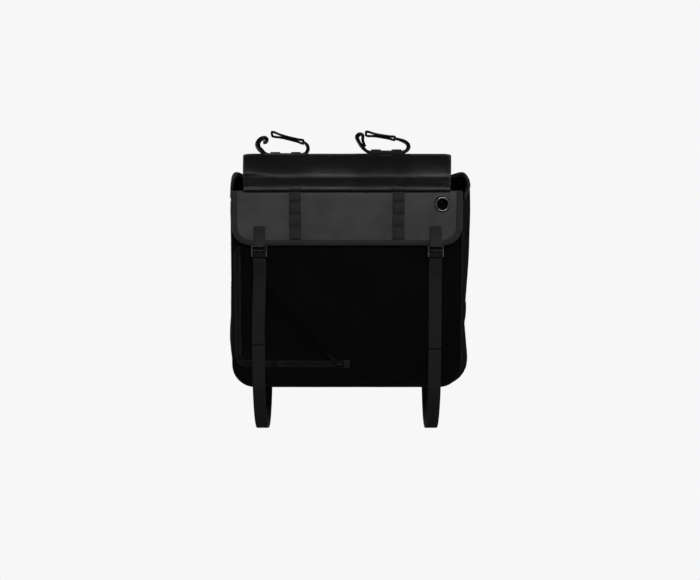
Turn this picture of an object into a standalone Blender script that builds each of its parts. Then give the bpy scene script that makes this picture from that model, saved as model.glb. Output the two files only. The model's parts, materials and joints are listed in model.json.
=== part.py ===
"""Bicycle pannier bag: a boxy fabric bag with a flap, two buckled straps and two rack carabiners.

Metres, +Z up. The bag faces -Y and its back lies against the rack in the plane y = 0. Every height
below is measured from the bag's base, and the root empty then moves the whole bag down so that the
origin lies on the wear patch, at the middle of the back.
"""

import math

import bmesh
import bpy
from mathutils import Matrix, Vector

# ---- driving dimensions ----------------------------------------------------------------------
ORIGIN_HEIGHT = 0.185        # of the frame's origin above the base
GAP = 0.0003                 # left between pieces that are sewn together
WEBBING = 0.0014             # thickness of every webbing
STRAP_WIDTH = 0.0205

# Back of the bag. The wear patch's outer face is the plane y = 0.
PATCH_THICKNESS = 0.0012
BACK_FACE_Y = -PATCH_THICKNESS - GAP
BACK_THICKNESS = 0.002
BACK_SEAM_Y = -0.0040
BACK_SEAM_HALF = 0.1778
BACK_HEIGHT = 0.378
BACK_TOP_RADIUS = 0.010

# Front of the bag
FRONT_FACE_Y = -0.150
FRONT_THICKNESS = 0.0018
FRONT_SEAM_Y = -0.1485
FRONT_SEAM_HALF = 0.1837
FRONT_HEIGHT = 0.300
CROWN = 0.005                # how far the front panel stands proud at its middle

PIPING_RADIUS = 0.0023
SEAM_LIFT = PIPING_RADIUS    # of the seam line above the base
CORNER_RADIUS = 0.035

# Gusset: the strip that makes the sides and the bottom
GUSSET_THICKNESS = 0.0016
EAR_HEIGHT = 0.3425          # of the sides' upper edge at the back
EAR_FRONT_DROP = 0.0355      # how much lower that edge is at the front
EAR_DROP_POWER = {"left": 3.0, "right": 1.5}
EAR_HEM_RADIUS = 0.0016
BULGE_BOTTOM = 0.0015

# Flap
HINGE_Y = -0.0025
HINGE_HEIGHT = 0.3812
FOLD_Y = -0.1578
FOLD_HEIGHT = 0.3156
NECK_THICKNESS = 0.0018
NECK_BACK_HALF = 0.1805
NECK_FRONT_HALF = 0.1635
FLAP_FACE_Y = -0.1575
FLAP_FACE_THICKNESS = 0.0015
FLAP_LINING_THICKNESS = 0.001
FLAP_HALF = 0.183            # outside its binding
FLAP_TOP = 0.3135
FLAP_BOTTOM = 0.2283
FLAP_RADIUS = 0.030
BINDING_WIDTH = 0.009
BINDING_WALL = 0.0008
DAISY_X = 0.082
DAISY_WIDTH = 0.019
DAISY_TACKS = (0.2975, 0.2785, 0.2590)
DAISY_RISE = 0.0012
GROMMET_X = 0.1515
GROMMET_HEIGHT = 0.2938
GROMMET_RADIUS = 0.013
GROMMET_BORE = 0.0082

# Buckles: the bar that the tab holds is the tilt axis
STRAP_X = {"left": -0.1422, "right": 0.1415}
BUCKLE_SHIFT = {"left": 0.0032, "right": -0.0005}
BUCKLE_BAR_Y = -0.1618
BUCKLE_BAR_HEIGHT = 0.2275
BUCKLE_BAR_RADIUS = 0.0012
LOCK_BAR_DROP = 0.0066       # of the locking bar below the tab's bar
TURN_RADIUS = 0.00225        # of a webbing's middle round either bar
BUCKLE_INSIDE_HALF = 0.0109
BUCKLE_HALF = 0.0130
TAB_WIDTH = 0.0185
TAB_TOP = 0.2593
TURN_CUT = 0.0165            # where the strap is cut behind the buckle's lip
TAIL_END = {"left": 0.070, "right": 0.0635}
TAIL_HEM = 0.011

# Corner zip: down the left edge, round the corner and along the bottom
ZIP_X = -0.1758
ZIP_HEIGHT = 0.037
ZIP_TOP = 0.226
ZIP_RADIUS = 0.014
ZIP_END_X = -0.006
ZIP_SLOT = 0.009
ZIP_COIL = 0.0032
SLIDER_X = -0.0125
SLIDER_LENGTH = 0.011
PULL_LENGTH = 0.029
PULL_ANGLE = 139             # degrees from +X, seen from the front

# Carabiners: the spine's axis is the swing axis. Each frame's centre line is given in millimetres as
# (along, up, radius), from the end of its nose, round the spine and up to the gate's pivot.
SPINE_RADIUS = 0.0033
LOOP_RADIUS = 0.0045         # of a loop's webbing middle round the spine
LOOP_OFFSETS = (-0.0135, 0.0225)
LOOP_LENGTH = 0.032
LOOP_WIDTH = 0.017
HEM_FACE_Y = -0.0002         # outer face of the flap's sewn-down edge
GATE_WIRE = 0.001
GATE_SPREAD = 0.0043         # of each wire from the frame's middle plane
GATE_FLARE = 0.0063          # the same at the gate's tip
CARABINERS = {
    "left": {
        "x": -0.1115, "height": 0.3790, "lean": 40, "pivot": (0.0345, 0.0305), "tip": (-0.0215, 0.0500),
        "frame": (
            (-33.5, 30.8, 2.3), (-30.0, 32.4, 2.4), (-28.9, 36.0, 2.5), (-32.0, 39.8, 2.8),
            (-37.0, 39.6, 3.1), (-41.5, 36.2, 3.3), (-44.6, 30.6, 3.5), (-45.4, 24.0, 3.6),
            (-43.2, 16.5, 3.5), (-38.0, 9.5, 3.4), (-31.0, 3.0, 3.3), (-24.5, 0.0, 3.3),
            (-12.0, 0.0, 3.3), (4.0, 0.0, 3.3), (20.0, 0.0, 3.3), (32.5, 0.0, 3.3),
            (39.0, 3.5, 3.1), (42.6, 10.5, 2.9), (42.7, 18.5, 2.8), (39.8, 25.5, 2.8), (34.5, 30.5, 2.8),
        ),
    },
    "right": {
        "x": 0.0635, "height": 0.3835, "lean": 36, "pivot": (0.0200, 0.0310), "tip": (-0.0303, 0.0420),
        "frame": (
            (-32.3, 14.0, 1.9), (-34.8, 20.5, 2.0), (-36.2, 27.5, 2.1), (-36.0, 33.5, 2.2),
            (-36.2, 37.8, 2.3), (-38.8, 40.3, 2.5), (-42.6, 39.8, 2.9), (-45.6, 36.0, 3.1),
            (-45.8, 30.8, 2.9), (-43.2, 23.5, 2.6), (-38.8, 14.5, 2.6), (-32.0, 5.0, 2.8),
            (-24.5, 0.0, 3.2), (-12.0, 0.0, 3.3), (4.0, 0.0, 3.3), (20.0, 0.0, 3.3), (31.5, 0.0, 3.3),
            (39.0, 3.0, 3.2), (43.2, 9.5, 3.3), (42.8, 17.0, 3.2), (38.0, 23.2, 3.0), (30.0, 27.6, 2.8),
            (20.0, 31.0, 2.7),
        ),
    },
}


# ---- materials --------------------------------------------------------------------------------
def material(name, colour, roughness, metallic=0.0):
    """A plain Principled material, made once for each name."""
    found = bpy.data.materials.get(name)
    if found:
        return found
    made = bpy.data.materials.new(name)
    made.use_nodes = True
    shader = made.node_tree.nodes["Principled BSDF"]
    shader.inputs["Base Color"].default_value = (*colour, 1.0)
    shader.inputs["Roughness"].default_value = roughness
    shader.inputs["Metallic"].default_value = metallic
    return made


def body_fabric():
    return material("body_fabric", (0.006, 0.006, 0.007), 0.75)


def flap_fabric():
    return material("flap_fabric", (0.028, 0.028, 0.030), 0.55)


def webbing():
    return material("webbing", (0.014, 0.014, 0.015), 0.7)


def piping():
    return material("piping", (0.012, 0.012, 0.013), 0.6)


def board():
    return material("board", (0.02, 0.02, 0.02), 0.5)


def rubber():
    return material("rubber", (0.01, 0.01, 0.01), 0.85)


def zip_plastic():
    return material("zip", (0.015, 0.015, 0.016), 0.4)


def buckle_plastic():
    return material("buckle", (0.03, 0.03, 0.03), 0.35)


def gunmetal():
    return material("gunmetal", (0.12, 0.12, 0.13), 0.3, 1.0)


def black_anodised():
    return material("carabiner", (0.01, 0.01, 0.011), 0.4, 0.6)


# ---- scene helpers ----------------------------------------------------------------------------
def clear_scene():
    for old in list(bpy.data.objects):
        bpy.data.objects.remove(old)


def empty(name, parent=None, location=(0, 0, 0), rotation=(0, 0, 0)):
    """A frame that pieces hang from: its place and turn are in its parent's frame."""
    made = bpy.data.objects.new(name, None)
    bpy.context.scene.collection.objects.link(made)
    made.parent = parent
    made.location = location
    made.rotation_euler = rotation
    return made


def add(name, mesh, parent, finish, origin=(0, 0, 0)):
    """Links a piece whose mesh is drawn in bag coordinates to a parent that stands at origin."""
    mesh.transform(Matrix.Translation(-Vector(origin)))
    made = bpy.data.objects.new(name, mesh)
    bpy.context.scene.collection.objects.link(made)
    made.parent = parent
    mesh.materials.append(finish)
    return made


def mesh_of(bm, name, recalculate=False):
    if recalculate:
        bmesh.ops.recalc_face_normals(bm, faces=bm.faces)
    mesh = bpy.data.meshes.new(name)
    bm.to_mesh(mesh)
    bm.free()
    return mesh


def smooth(piece, degrees=40):
    piece.data.shade_smooth()
    piece.data.set_sharp_from_angle(angle=math.radians(degrees))


def solidify(piece, thickness, offset):
    modifier = piece.modifiers.new("Thickness", "SOLIDIFY")
    modifier.thickness = thickness
    modifier.offset = offset
    modifier.use_even_offset = True


def cut(piece, cutter):
    """Takes the cutter's volume out of the piece. The cutter is never rendered."""
    cutter.hide_render = True
    cutter.display_type = "WIRE"
    modifier = piece.modifiers.new("Cut", "BOOLEAN")
    modifier.operation = "DIFFERENCE"
    modifier.solver = "EXACT"
    modifier.object = cutter


def join(piece, other):
    """Makes the other solid part of the piece."""
    other.hide_render = True
    other.display_type = "WIRE"
    modifier = piece.modifiers.new("Join", "BOOLEAN")
    modifier.operation = "UNION"
    modifier.solver = "EXACT"
    modifier.object = other


# ---- outlines and paths -----------------------------------------------------------------------
def arc(centre, radius, start, end, steps=8):
    """Points on a circle from start to end, in degrees, both ends included."""
    angles = [math.radians(start + (end - start) * i / steps) for i in range(steps + 1)]
    return [(centre[0] + radius * math.cos(a), centre[1] + radius * math.sin(a)) for a in angles]


def plate_outline(low, high, bottom_radius, top_radius):
    """Rectangle from low to high in (x, height) with rounded corners, counter-clockwise from the front."""
    (x0, h0), (x1, h1) = low, high
    points = arc((x0 + bottom_radius, h0 + bottom_radius), bottom_radius, 180, 270)
    points += arc((x1 - bottom_radius, h0 + bottom_radius), bottom_radius, 270, 360)
    points += arc((x1 - top_radius, h1 - top_radius), top_radius, 0, 90, 5)
    points += arc((x0 + top_radius, h1 - top_radius), top_radius, 90, 180, 5)
    return points


def seam_path(half, lift, top, radius, steps=8):
    """Open U in (x, height): down the left side, round both bottom corners, up the right side."""
    left = [(-half, top - (top - lift - radius) * i / 6) for i in range(6)]
    bottom_left = arc((-half + radius, lift + radius), radius, 180, 270, steps)
    middle = [((-half + radius) * (1 - 2 * i / 6), lift) for i in range(1, 6)]
    bottom_right = arc((half - radius, lift + radius), radius, 270, 360, steps)
    right = [(half, y) for _, y in reversed(left)]
    return left + bottom_left + middle + bottom_right + right


def zip_path():
    """The corner zip's centre line in (x, height), from its top to its end."""
    corner = (ZIP_X + ZIP_RADIUS, ZIP_HEIGHT + ZIP_RADIUS)
    down = [(ZIP_X, ZIP_TOP - (ZIP_TOP - corner[1]) * i / 8) for i in range(8)]
    along = [(corner[0] + (ZIP_END_X - corner[0]) * i / 8, ZIP_HEIGHT) for i in range(1, 9)]
    return down + arc(corner, ZIP_RADIUS, 180, 270, 6) + along


def smooth_curve(points, steps=5):
    """Points on a Catmull-Rom curve through the given ones, with steps spans between each pair."""
    ends = [2 * Vector(points[0]) - Vector(points[1]), 2 * Vector(points[-1]) - Vector(points[-2])]
    knots = [ends[0]] + [Vector(p) for p in points] + [ends[1]]
    made = []
    for a, b, c, d in zip(knots, knots[1:], knots[2:], knots[3:]):
        for i in range(steps):
            t = i / steps
            made.append(
                0.5 * (2 * b + (c - a) * t + (2 * a - 5 * b + 4 * c - d) * t**2
                       + (3 * b - 3 * c + d - a) * t**3)
            )
    return made + [knots[-2]]


def smooth_step(t):
    t = min(1.0, max(0.0, t))
    return t * t * (3 - 2 * t)


# ---- shapes -----------------------------------------------------------------------------------
def front_crown(x, height):
    """How far the front panel stands proud of its seams."""
    across = max(0.0, 1 - (x / FRONT_SEAM_HALF) ** 2)
    up = math.sin(math.pi * min(1.0, max(0.0, height / FRONT_HEIGHT)))
    return CROWN * across * up**1.2


def crowned(mesh):
    """Moves a flat front piece out by the front panel's crown."""
    for v in mesh.vertices:
        v.co.y -= front_crown(v.co.x, v.co.z)
    return mesh


def sheet_mesh(name, outline, face_y, cells=None):
    """One flat face in the plane y = face_y that looks forward, sliced into cells by (columns, rows)."""
    bm = bmesh.new()
    bm.faces.new([bm.verts.new((x, face_y, h)) for x, h in outline])
    if cells:
        low = [min(p[i] for p in outline) for i in range(2)]
        high = [max(p[i] for p in outline) for i in range(2)]
        for axis, normal, count in ((0, (1, 0, 0), cells[0]), (1, (0, 0, 1), cells[1])):
            for i in range(1, count):
                at = low[axis] + (high[axis] - low[axis]) * i / count
                point = (at, face_y, 0) if axis == 0 else (0, face_y, at)
                everything = bm.verts[:] + bm.edges[:] + bm.faces[:]
                bmesh.ops.bisect_plane(bm, geom=everything, plane_co=point, plane_no=normal)
    return mesh_of(bm, name)


def sheet(name, outline, face_y, thickness, parent, finish, cells=None, crown=False, origin=(0, 0, 0)):
    """A cut panel: its front is at face_y and its thickness goes back from there."""
    mesh = sheet_mesh(name, outline, face_y, cells)
    piece = add(name, crowned(mesh) if crown else mesh, parent, finish, origin)
    solidify(piece, thickness, -1)
    return piece


def grid_mesh(name, rows):
    """A surface through rows of points."""
    bm = bmesh.new()
    made = [[bm.verts.new(p) for p in row] for row in rows]
    for lower, upper in zip(made, made[1:]):
        for a, b, c, d in zip(lower, lower[1:], upper[1:], upper):
            bm.faces.new((a, b, c, d))
    return mesh_of(bm, name)


def ribbon(name, path, centre_x, width, parent, finish, origin=(0, 0, 0), thickness=WEBBING):
    """Webbing along a path in (y, height), as wide as width. Its middle's x may depend on the height."""
    rows = []
    for y, h in path:
        middle = centre_x(h) if callable(centre_x) else centre_x
        rows.append([(middle + side * width / 2, y, h) for side in (-1, 1)])
    piece = add(name, grid_mesh(name, rows), parent, finish, origin)
    solidify(piece, thickness, 0)
    smooth(piece)
    return piece


def sweep_mesh(name, path, section):
    """Carries a closed section of (outward, y) points along a path in (x, height)."""
    bm = bmesh.new()
    rings = []
    last = len(path) - 1
    for i, (x, h) in enumerate(path):
        before, after = path[max(0, i - 1)], path[min(last, i + 1)]
        along = Vector((after[0] - before[0], after[1] - before[1])).normalized()
        outward = (along.y, -along.x)
        rings.append([bm.verts.new((x + outward[0] * a, y, h + outward[1] * a)) for a, y in section])
    count = len(section)
    for one, two in zip(rings, rings[1:]):
        for i in range(count):
            j = (i + 1) % count
            bm.faces.new((one[i], one[j], two[j], two[i]))
    bm.faces.new(rings[0][::-1])
    bm.faces.new(rings[-1])
    return mesh_of(bm, name, recalculate=True)


def prism_mesh(name, profile, x0, x1):
    """A closed profile in (y, height) extruded along X from x0 to x1."""
    bm = bmesh.new()
    base = bm.faces.new([bm.verts.new((x0, y, h)) for y, h in profile])
    made = bmesh.ops.extrude_face_region(bm, geom=[base])
    moved = [v for v in made["geom"] if isinstance(v, bmesh.types.BMVert)]
    bmesh.ops.translate(bm, verts=moved, vec=(x1 - x0, 0, 0))
    return mesh_of(bm, name, recalculate=True)


def rod_mesh(name, radius, length, axis, segments=16):
    """A closed cylinder centred on the origin, along X or Y."""
    bm = bmesh.new()
    bmesh.ops.create_cone(
        bm, cap_ends=True, segments=segments, radius1=radius, radius2=radius, depth=length
    )
    turn = Matrix.Rotation(math.pi / 2, 3, "Y" if axis == "X" else "X")
    bmesh.ops.rotate(bm, verts=bm.verts, matrix=turn)
    return mesh_of(bm, name, recalculate=True)


def tube(name, points, radius, parent, finish, radii=None, sides=3):
    """A round bar along the points, with filled ends and an optional scale of its radius at each."""
    curve = bpy.data.curves.new(name, "CURVE")
    curve.dimensions = "3D"
    curve.bevel_depth = radius
    curve.bevel_resolution = sides
    curve.use_fill_caps = True
    spline = curve.splines.new("POLY")
    spline.points.add(len(points) - 1)
    for i, (target, point) in enumerate(zip(spline.points, points)):
        target.co = (*point, 1)
        target.radius = radii[i] if radii else 1
    curve.materials.append(finish)
    piece = bpy.data.objects.new(name, curve)
    bpy.context.scene.collection.objects.link(piece)
    piece.parent = parent
    return piece


def turned(name, profile, parent, finish, location, steps=28):
    """A ring about the Y axis. The profile's points are (radius, distance forward) on a closed loop."""
    bm = bmesh.new()
    points = [bm.verts.new((r, 0, forward)) for r, forward in profile]
    for a, b in zip(points, points[1:] + points[:1]):
        bm.edges.new((a, b))
    piece = add(name, mesh_of(bm, name), parent, finish)
    piece.location = location
    piece.rotation_euler = (math.pi / 2, 0, 0)
    screw = piece.modifiers.new("Turn", "SCREW")
    screw.steps = screw.render_steps = steps
    screw.use_merge_vertices = False
    return piece


# ---- bag --------------------------------------------------------------------------------------
def back_parts(root):
    inset = PIPING_RADIUS + GAP
    half = BACK_SEAM_HALF - inset
    outline = plate_outline(
        (-half, SEAM_LIFT + inset), (half, BACK_HEIGHT), CORNER_RADIUS - inset, BACK_TOP_RADIUS
    )
    front_y = BACK_FACE_Y - BACK_THICKNESS
    sheet("back_panel", outline, front_y, BACK_THICKNESS, root, body_fabric())
    sheet(
        "back_board", plate_outline((-0.168, 0.012), (0.168, 0.378), 0.032, 0.010),
        front_y - GAP - 0.003, 0.003, root, board(),
    )
    sheet(
        "board_sleeve", plate_outline((-0.1705, 0.010), (0.1705, 0.366), 0.034, 0.006),
        front_y - 2 * GAP - 0.0042, 0.0012, root, body_fabric(),
    )
    sheet(
        "wear_patch", plate_outline((-0.112, 0.060), (0.112, 0.325), 0.016, 0.016),
        -PATCH_THICKNESS, PATCH_THICKNESS, root, rubber(),
    )
    sheet(
        "flap_hem", plate_outline((-0.172, 0.344), (0.172, 0.3767), 0.002, 0.008),
        BACK_FACE_Y + GAP, HEM_FACE_Y - BACK_FACE_Y - GAP, root, flap_fabric(),
    )


def front_parts(root):
    inset = PIPING_RADIUS + GAP
    half = FRONT_SEAM_HALF - inset
    outline = plate_outline(
        (-half, SEAM_LIFT + inset), (half, FRONT_HEIGHT), CORNER_RADIUS - inset, 0.003
    )
    panel = sheet(
        "front_panel", outline, FRONT_FACE_Y, FRONT_THICKNESS, root, body_fabric(),
        cells=(16, 14), crown=True,
    )
    smooth(panel)
    slot = [(a, y) for a, y in (
        (-ZIP_SLOT / 2, -0.165), (ZIP_SLOT / 2, -0.165), (ZIP_SLOT / 2, -0.140), (-ZIP_SLOT / 2, -0.140)
    )]
    cutter = add("zip_slot_cutter", sweep_mesh("zip_slot_cutter", zip_path(), slot), root, board())
    cut(panel, cutter)

    wall, reach = 0.0008, 0.007
    inside, outside = FRONT_FACE_Y + FRONT_THICKNESS + GAP, FRONT_FACE_Y - 2 * GAP
    top, low = FRONT_HEIGHT + GAP, FRONT_HEIGHT - reach
    channel = [
        (outside - wall, low), (outside, low), (outside, top), (inside, top),
        (inside, low), (inside + wall, low), (inside + wall, top + wall), (outside - wall, top + wall),
    ]
    mesh = prism_mesh("mouth_hem", channel, -half + 0.002, half - 0.002)
    add("mouth_hem", mesh, root, piping())

    lining = sheet(
        "pocket_lining", plate_outline((-0.172, 0.014), (0.012, 0.236), 0.030, 0.004),
        FRONT_FACE_Y + FRONT_THICKNESS + 0.0010, 0.0008, root, body_fabric(), cells=(8, 8), crown=True,
    )
    smooth(lining)


def ear_height(x, depth_share):
    """Height of the sides' upper edge, from 0 at the back seam to 1 at the front seam."""
    power = EAR_DROP_POWER["left" if x < 0 else "right"]
    return EAR_HEIGHT - EAR_FRONT_DROP * depth_share ** power


def bulge(x, height):
    """How far the side stands out of its seams at mid depth: the right side more than the left."""
    if x > 0:
        return 0.0108 + 0.033 * height
    belly = 0.0045 * math.exp(-(((height - 0.085) / 0.045) ** 2))
    return 0.0045 + belly - 0.0045 * smooth_step((height - 0.316) / 0.024)


def gusset_point(place, share, inset=0.0):
    """Point of the gusset's outer face at a place along the U and a share of its depth."""
    half = BACK_SEAM_HALF + (FRONT_SEAM_HALF - BACK_SEAM_HALF) * share
    back, front = BACK_SEAM_Y - PIPING_RADIUS - GAP, FRONT_SEAM_Y + PIPING_RADIUS + GAP
    places = len(seam_path(1, 0, 1, 0.1))
    path = seam_path(half, SEAM_LIFT, ear_height(place - places / 2, share), CORNER_RADIUS)
    x, h = path[place]
    before, after = path[max(0, place - 1)], path[min(len(path) - 1, place + 1)]
    along = Vector((after[0] - before[0], after[1] - before[1])).normalized()
    swell = BULGE_BOTTOM + (bulge(x, h) - BULGE_BOTTOM) * abs(along.y)
    out = GUSSET_THICKNESS / 2 + swell * math.sin(math.pi * share) - inset
    return (x + along.y * out, back + (front - back) * share, h - along.x * out)


def gusset_parts(root):
    places = range(len(seam_path(1, 0, 1, 0.1)))
    shares = [i / 12 for i in range(13)]
    rows = [[gusset_point(place, share) for share in shares] for place in places]
    piece = add("gusset", grid_mesh("gusset", rows), root, body_fabric())
    solidify(piece, GUSSET_THICKNESS, -1)
    smooth(piece)
    for side, place in (("left", 0), ("right", places[-1])):
        edge = [Vector(gusset_point(place, share, GUSSET_THICKNESS / 2)) for share in shares]
        lifted = []
        for i, point in enumerate(edge):
            along = edge[min(i + 1, len(edge) - 1)] - edge[max(i - 1, 0)]
            normal = Vector((0, along.z, -along.y)).normalized()
            lifted.append(point + normal * (EAR_HEM_RADIUS + 2 * GAP))
        tube(f"ear_hem_{side}", lifted, EAR_HEM_RADIUS, root, piping(), sides=2)
    sheet_floor = [(-0.138, -0.140), (0.138, -0.140), (0.138, -0.014), (-0.138, -0.014)]
    bm = bmesh.new()
    bm.faces.new([bm.verts.new((x, y, 0.0062)) for x, y in sheet_floor])
    solidify(add("base_board", mesh_of(bm, "base_board"), root, board()), 0.0025, -1)


def piping_parts(root):
    front = seam_path(FRONT_SEAM_HALF, SEAM_LIFT, FRONT_HEIGHT - 0.001, CORNER_RADIUS)
    back = seam_path(BACK_SEAM_HALF, SEAM_LIFT, BACK_HEIGHT - 0.012, CORNER_RADIUS)
    tube("front_piping", [(x, FRONT_SEAM_Y, h) for x, h in front], PIPING_RADIUS, root, piping())
    tube("back_piping", [(x, BACK_SEAM_Y, h) for x, h in back], PIPING_RADIUS, root, piping())


# ---- corner zip -------------------------------------------------------------------------------
def zip_parts(root):
    edge, coil = ZIP_SLOT / 2 - GAP, ZIP_COIL / 2
    tape = (FRONT_FACE_Y + 0.0003, FRONT_FACE_Y + 0.0013)
    sections = {
        "zip_tape_outer": [(coil + GAP, tape[0]), (edge, tape[0]), (edge, tape[1]), (coil + GAP, tape[1])],
        "zip_tape_inner": [(-edge, tape[0]), (-coil - GAP, tape[0]), (-coil - GAP, tape[1]), (-edge, tape[1])],
        "zip_coil": [(-coil, tape[1]), (-coil, FRONT_FACE_Y - 0.0007), (-coil / 2, FRONT_FACE_Y - 0.0012),
                     (coil / 2, FRONT_FACE_Y - 0.0012), (coil, FRONT_FACE_Y - 0.0007), (coil, tape[1])],
    }
    path = zip_path()
    path[0] = (path[0][0], path[0][1] - 0.0005)
    path[-1] = (path[-1][0] - 0.0005, path[-1][1])
    for name, section in sections.items():
        smooth(add(name, crowned(sweep_mesh(name, path, section)), root, zip_plastic()))
    low, high = (ZIP_END_X + 0.0006, ZIP_HEIGHT - 0.0065), (ZIP_END_X + 0.0105, ZIP_HEIGHT + 0.0065)
    sheet(
        "zip_garage", plate_outline(low, high, 0.003, 0.003), FRONT_FACE_Y - 0.0013, 0.001,
        root, webbing(), cells=(3, 3), crown=True,
    )


def slider_parts(root):
    under = FRONT_FACE_Y - 0.0012 - front_crown(SLIDER_X, ZIP_HEIGHT) - 0.0004
    place = (SLIDER_X, under, ZIP_HEIGHT)
    frame = empty("zip_slide", root, place)
    half = SLIDER_LENGTH / 2
    outline = plate_outline((-half, -0.004), (half, 0.004), 0.0025, 0.0025)
    body = sheet("zip_slider", outline, -0.0024, 0.0024, frame, zip_plastic())
    post = add("slider_post", rod_mesh("slider_post", 0.0012, 0.0045, "Y"), frame, zip_plastic())
    post.location = (0, -0.0038, 0)
    cap = add("slider_cap", rod_mesh("slider_cap", 0.0022, 0.0008, "Y"), frame, zip_plastic())
    cap.location = (0, -0.0056, 0)
    join(body, post)
    join(body, cap)

    swing = empty("zip_pull_swing", frame, (0, -0.0027, 0), (0, -math.radians(PULL_ANGLE), 0))
    outline = plate_outline((-0.0030, -0.0030), (PULL_LENGTH - 0.003, 0.0030), 0.0028, 0.0028)
    pull = sheet("zip_pull", outline, -0.0014, 0.0014, swing, zip_plastic())
    hole = add("pull_hole", rod_mesh("pull_hole", 0.0016, 0.006, "Y"), swing, zip_plastic())
    cut(pull, hole)


# ---- flap -------------------------------------------------------------------------------------
def neck_profile():
    """The neck's outer face in (y, height), from the hinge to the fold."""
    knots = [
        (HINGE_Y, HINGE_HEIGHT), (-0.012, 0.3775), (-0.028, 0.3665), (-0.050, 0.3540), (-0.072, 0.3450),
        (-0.092, 0.3410), (-0.103, 0.3375), (-0.116, 0.3290), (-0.128, 0.3225), (-0.142, 0.3195),
        (-0.152, 0.3180), (FOLD_Y + 0.0006, FOLD_HEIGHT + 0.0001),
    ]
    return smooth_curve(knots, 2)


def flap_parts(root):
    hinge_at = Vector((0, HINGE_Y, HINGE_HEIGHT))
    fold_at = Vector((0, FOLD_Y, FOLD_HEIGHT))
    hinge = empty("flap_hinge", root, hinge_at)
    fold = empty("flap_fold", hinge, fold_at - hinge_at)
    depth = HINGE_Y - FOLD_Y
    rows = []
    for y, h in neck_profile():
        half = NECK_BACK_HALF + (NECK_FRONT_HALF - NECK_BACK_HALF) * max(0.0, (HINGE_Y - y) / depth) ** 1.15
        rows.append([(half * (1 - 2 * i / 4), y, h) for i in range(5)])
    neck = add("flap_neck", grid_mesh("flap_neck", rows[::-1]), hinge, flap_fabric(), hinge_at)
    solidify(neck, NECK_THICKNESS, -1)
    smooth(neck)
    face_parts(fold, fold_at)


def face_parts(fold, origin):
    wrap = BINDING_WALL + GAP
    half, low = FLAP_HALF - wrap, FLAP_BOTTOM + wrap
    outline = plate_outline((-half, low), (half, FLAP_TOP), FLAP_RADIUS - wrap, 0.002)
    lining_y = FLAP_FACE_Y + FLAP_FACE_THICKNESS + GAP
    for name, face_y, thickness, finish in (
        ("flap_face", FLAP_FACE_Y, FLAP_FACE_THICKNESS, flap_fabric()),
        ("flap_lining", lining_y, FLAP_LINING_THICKNESS, body_fabric()),
    ):
        piece = sheet(name, outline, face_y, thickness, fold, finish, origin=origin)
        bore = rod_mesh(f"{name}_bore", GROMMET_BORE + 0.0014, 0.02, "Y", 28)
        cutter = add(f"{name}_bore", bore, fold, finish)
        cutter.location = Vector((GROMMET_X, FLAP_FACE_Y, GROMMET_HEIGHT)) - origin
        cut(piece, cutter)
    front, back = FLAP_FACE_Y - GAP, lining_y + FLAP_LINING_THICKNESS + GAP
    channel = [
        (0, front - BINDING_WALL), (0, back + BINDING_WALL), (-BINDING_WIDTH, back + BINDING_WALL),
        (-BINDING_WIDTH, back), (-BINDING_WALL, back), (-BINDING_WALL, front), (-BINDING_WIDTH, front),
        (-BINDING_WIDTH, front - BINDING_WALL),
    ]
    path = seam_path(FLAP_HALF, FLAP_BOTTOM, FLAP_TOP, FLAP_RADIUS)
    binding = sweep_mesh("flap_binding", path, channel)
    smooth(add("flap_binding", binding, fold, piping(), origin))

    for side, x in (("left", -DAISY_X), ("right", DAISY_X)):
        ribbon(f"daisy_chain_{side}", daisy_path(), x, DAISY_WIDTH, fold, webbing(), origin)
        tab_x = STRAP_X[side] + BUCKLE_SHIFT[side]
        ribbon(f"buckle_tab_{side}", tab_path(), tab_x, TAB_WIDTH, fold, webbing(), origin)
        bar = Vector((tab_x, BUCKLE_BAR_Y, BUCKLE_BAR_HEIGHT))
        buckle_parts(side, empty(f"buckle_tilt_{side}", fold, bar - origin))
    grommet_parts(fold, origin, front, back)


def daisy_path():
    """Webbing that is tacked down at intervals and stands a little proud between the tacks."""
    flat = FLAP_FACE_Y - GAP - WEBBING / 2
    stops = [FLAP_TOP - 0.0005, *DAISY_TACKS, FLAP_BOTTOM + BINDING_WIDTH + 0.001]
    path = [(flat, stops[0])]
    for index, (upper, lower) in enumerate(zip(stops, stops[1:])):
        rise = 0 if index == len(stops) - 2 else DAISY_RISE
        for i in range(1, 7):
            share = i / 6
            path.append((flat - rise * math.sin(math.pi * share) ** 2, upper + (lower - upper) * share))
    return path


def tab_path():
    """Down the flap, under the buckle's upper bar and back up over itself."""
    face = FLAP_FACE_Y - GAP - WEBBING / 2
    over = BUCKLE_BAR_Y + TURN_RADIUS
    step = WEBBING + GAP
    round_bar = arc((BUCKLE_BAR_Y, BUCKLE_BAR_HEIGHT), TURN_RADIUS, 0, -180, 10)
    return (
        [(face, TAB_TOP), (face, 0.2430), (over, 0.2385), (over, 0.2320)]
        + round_bar
        + [(over - step - 0.0012, 0.2320), (over - step, 0.2365), (over - step, 0.2385)]
        + [(face - step, 0.2430), (face - step, TAB_TOP - 0.0005)]
    )


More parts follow.
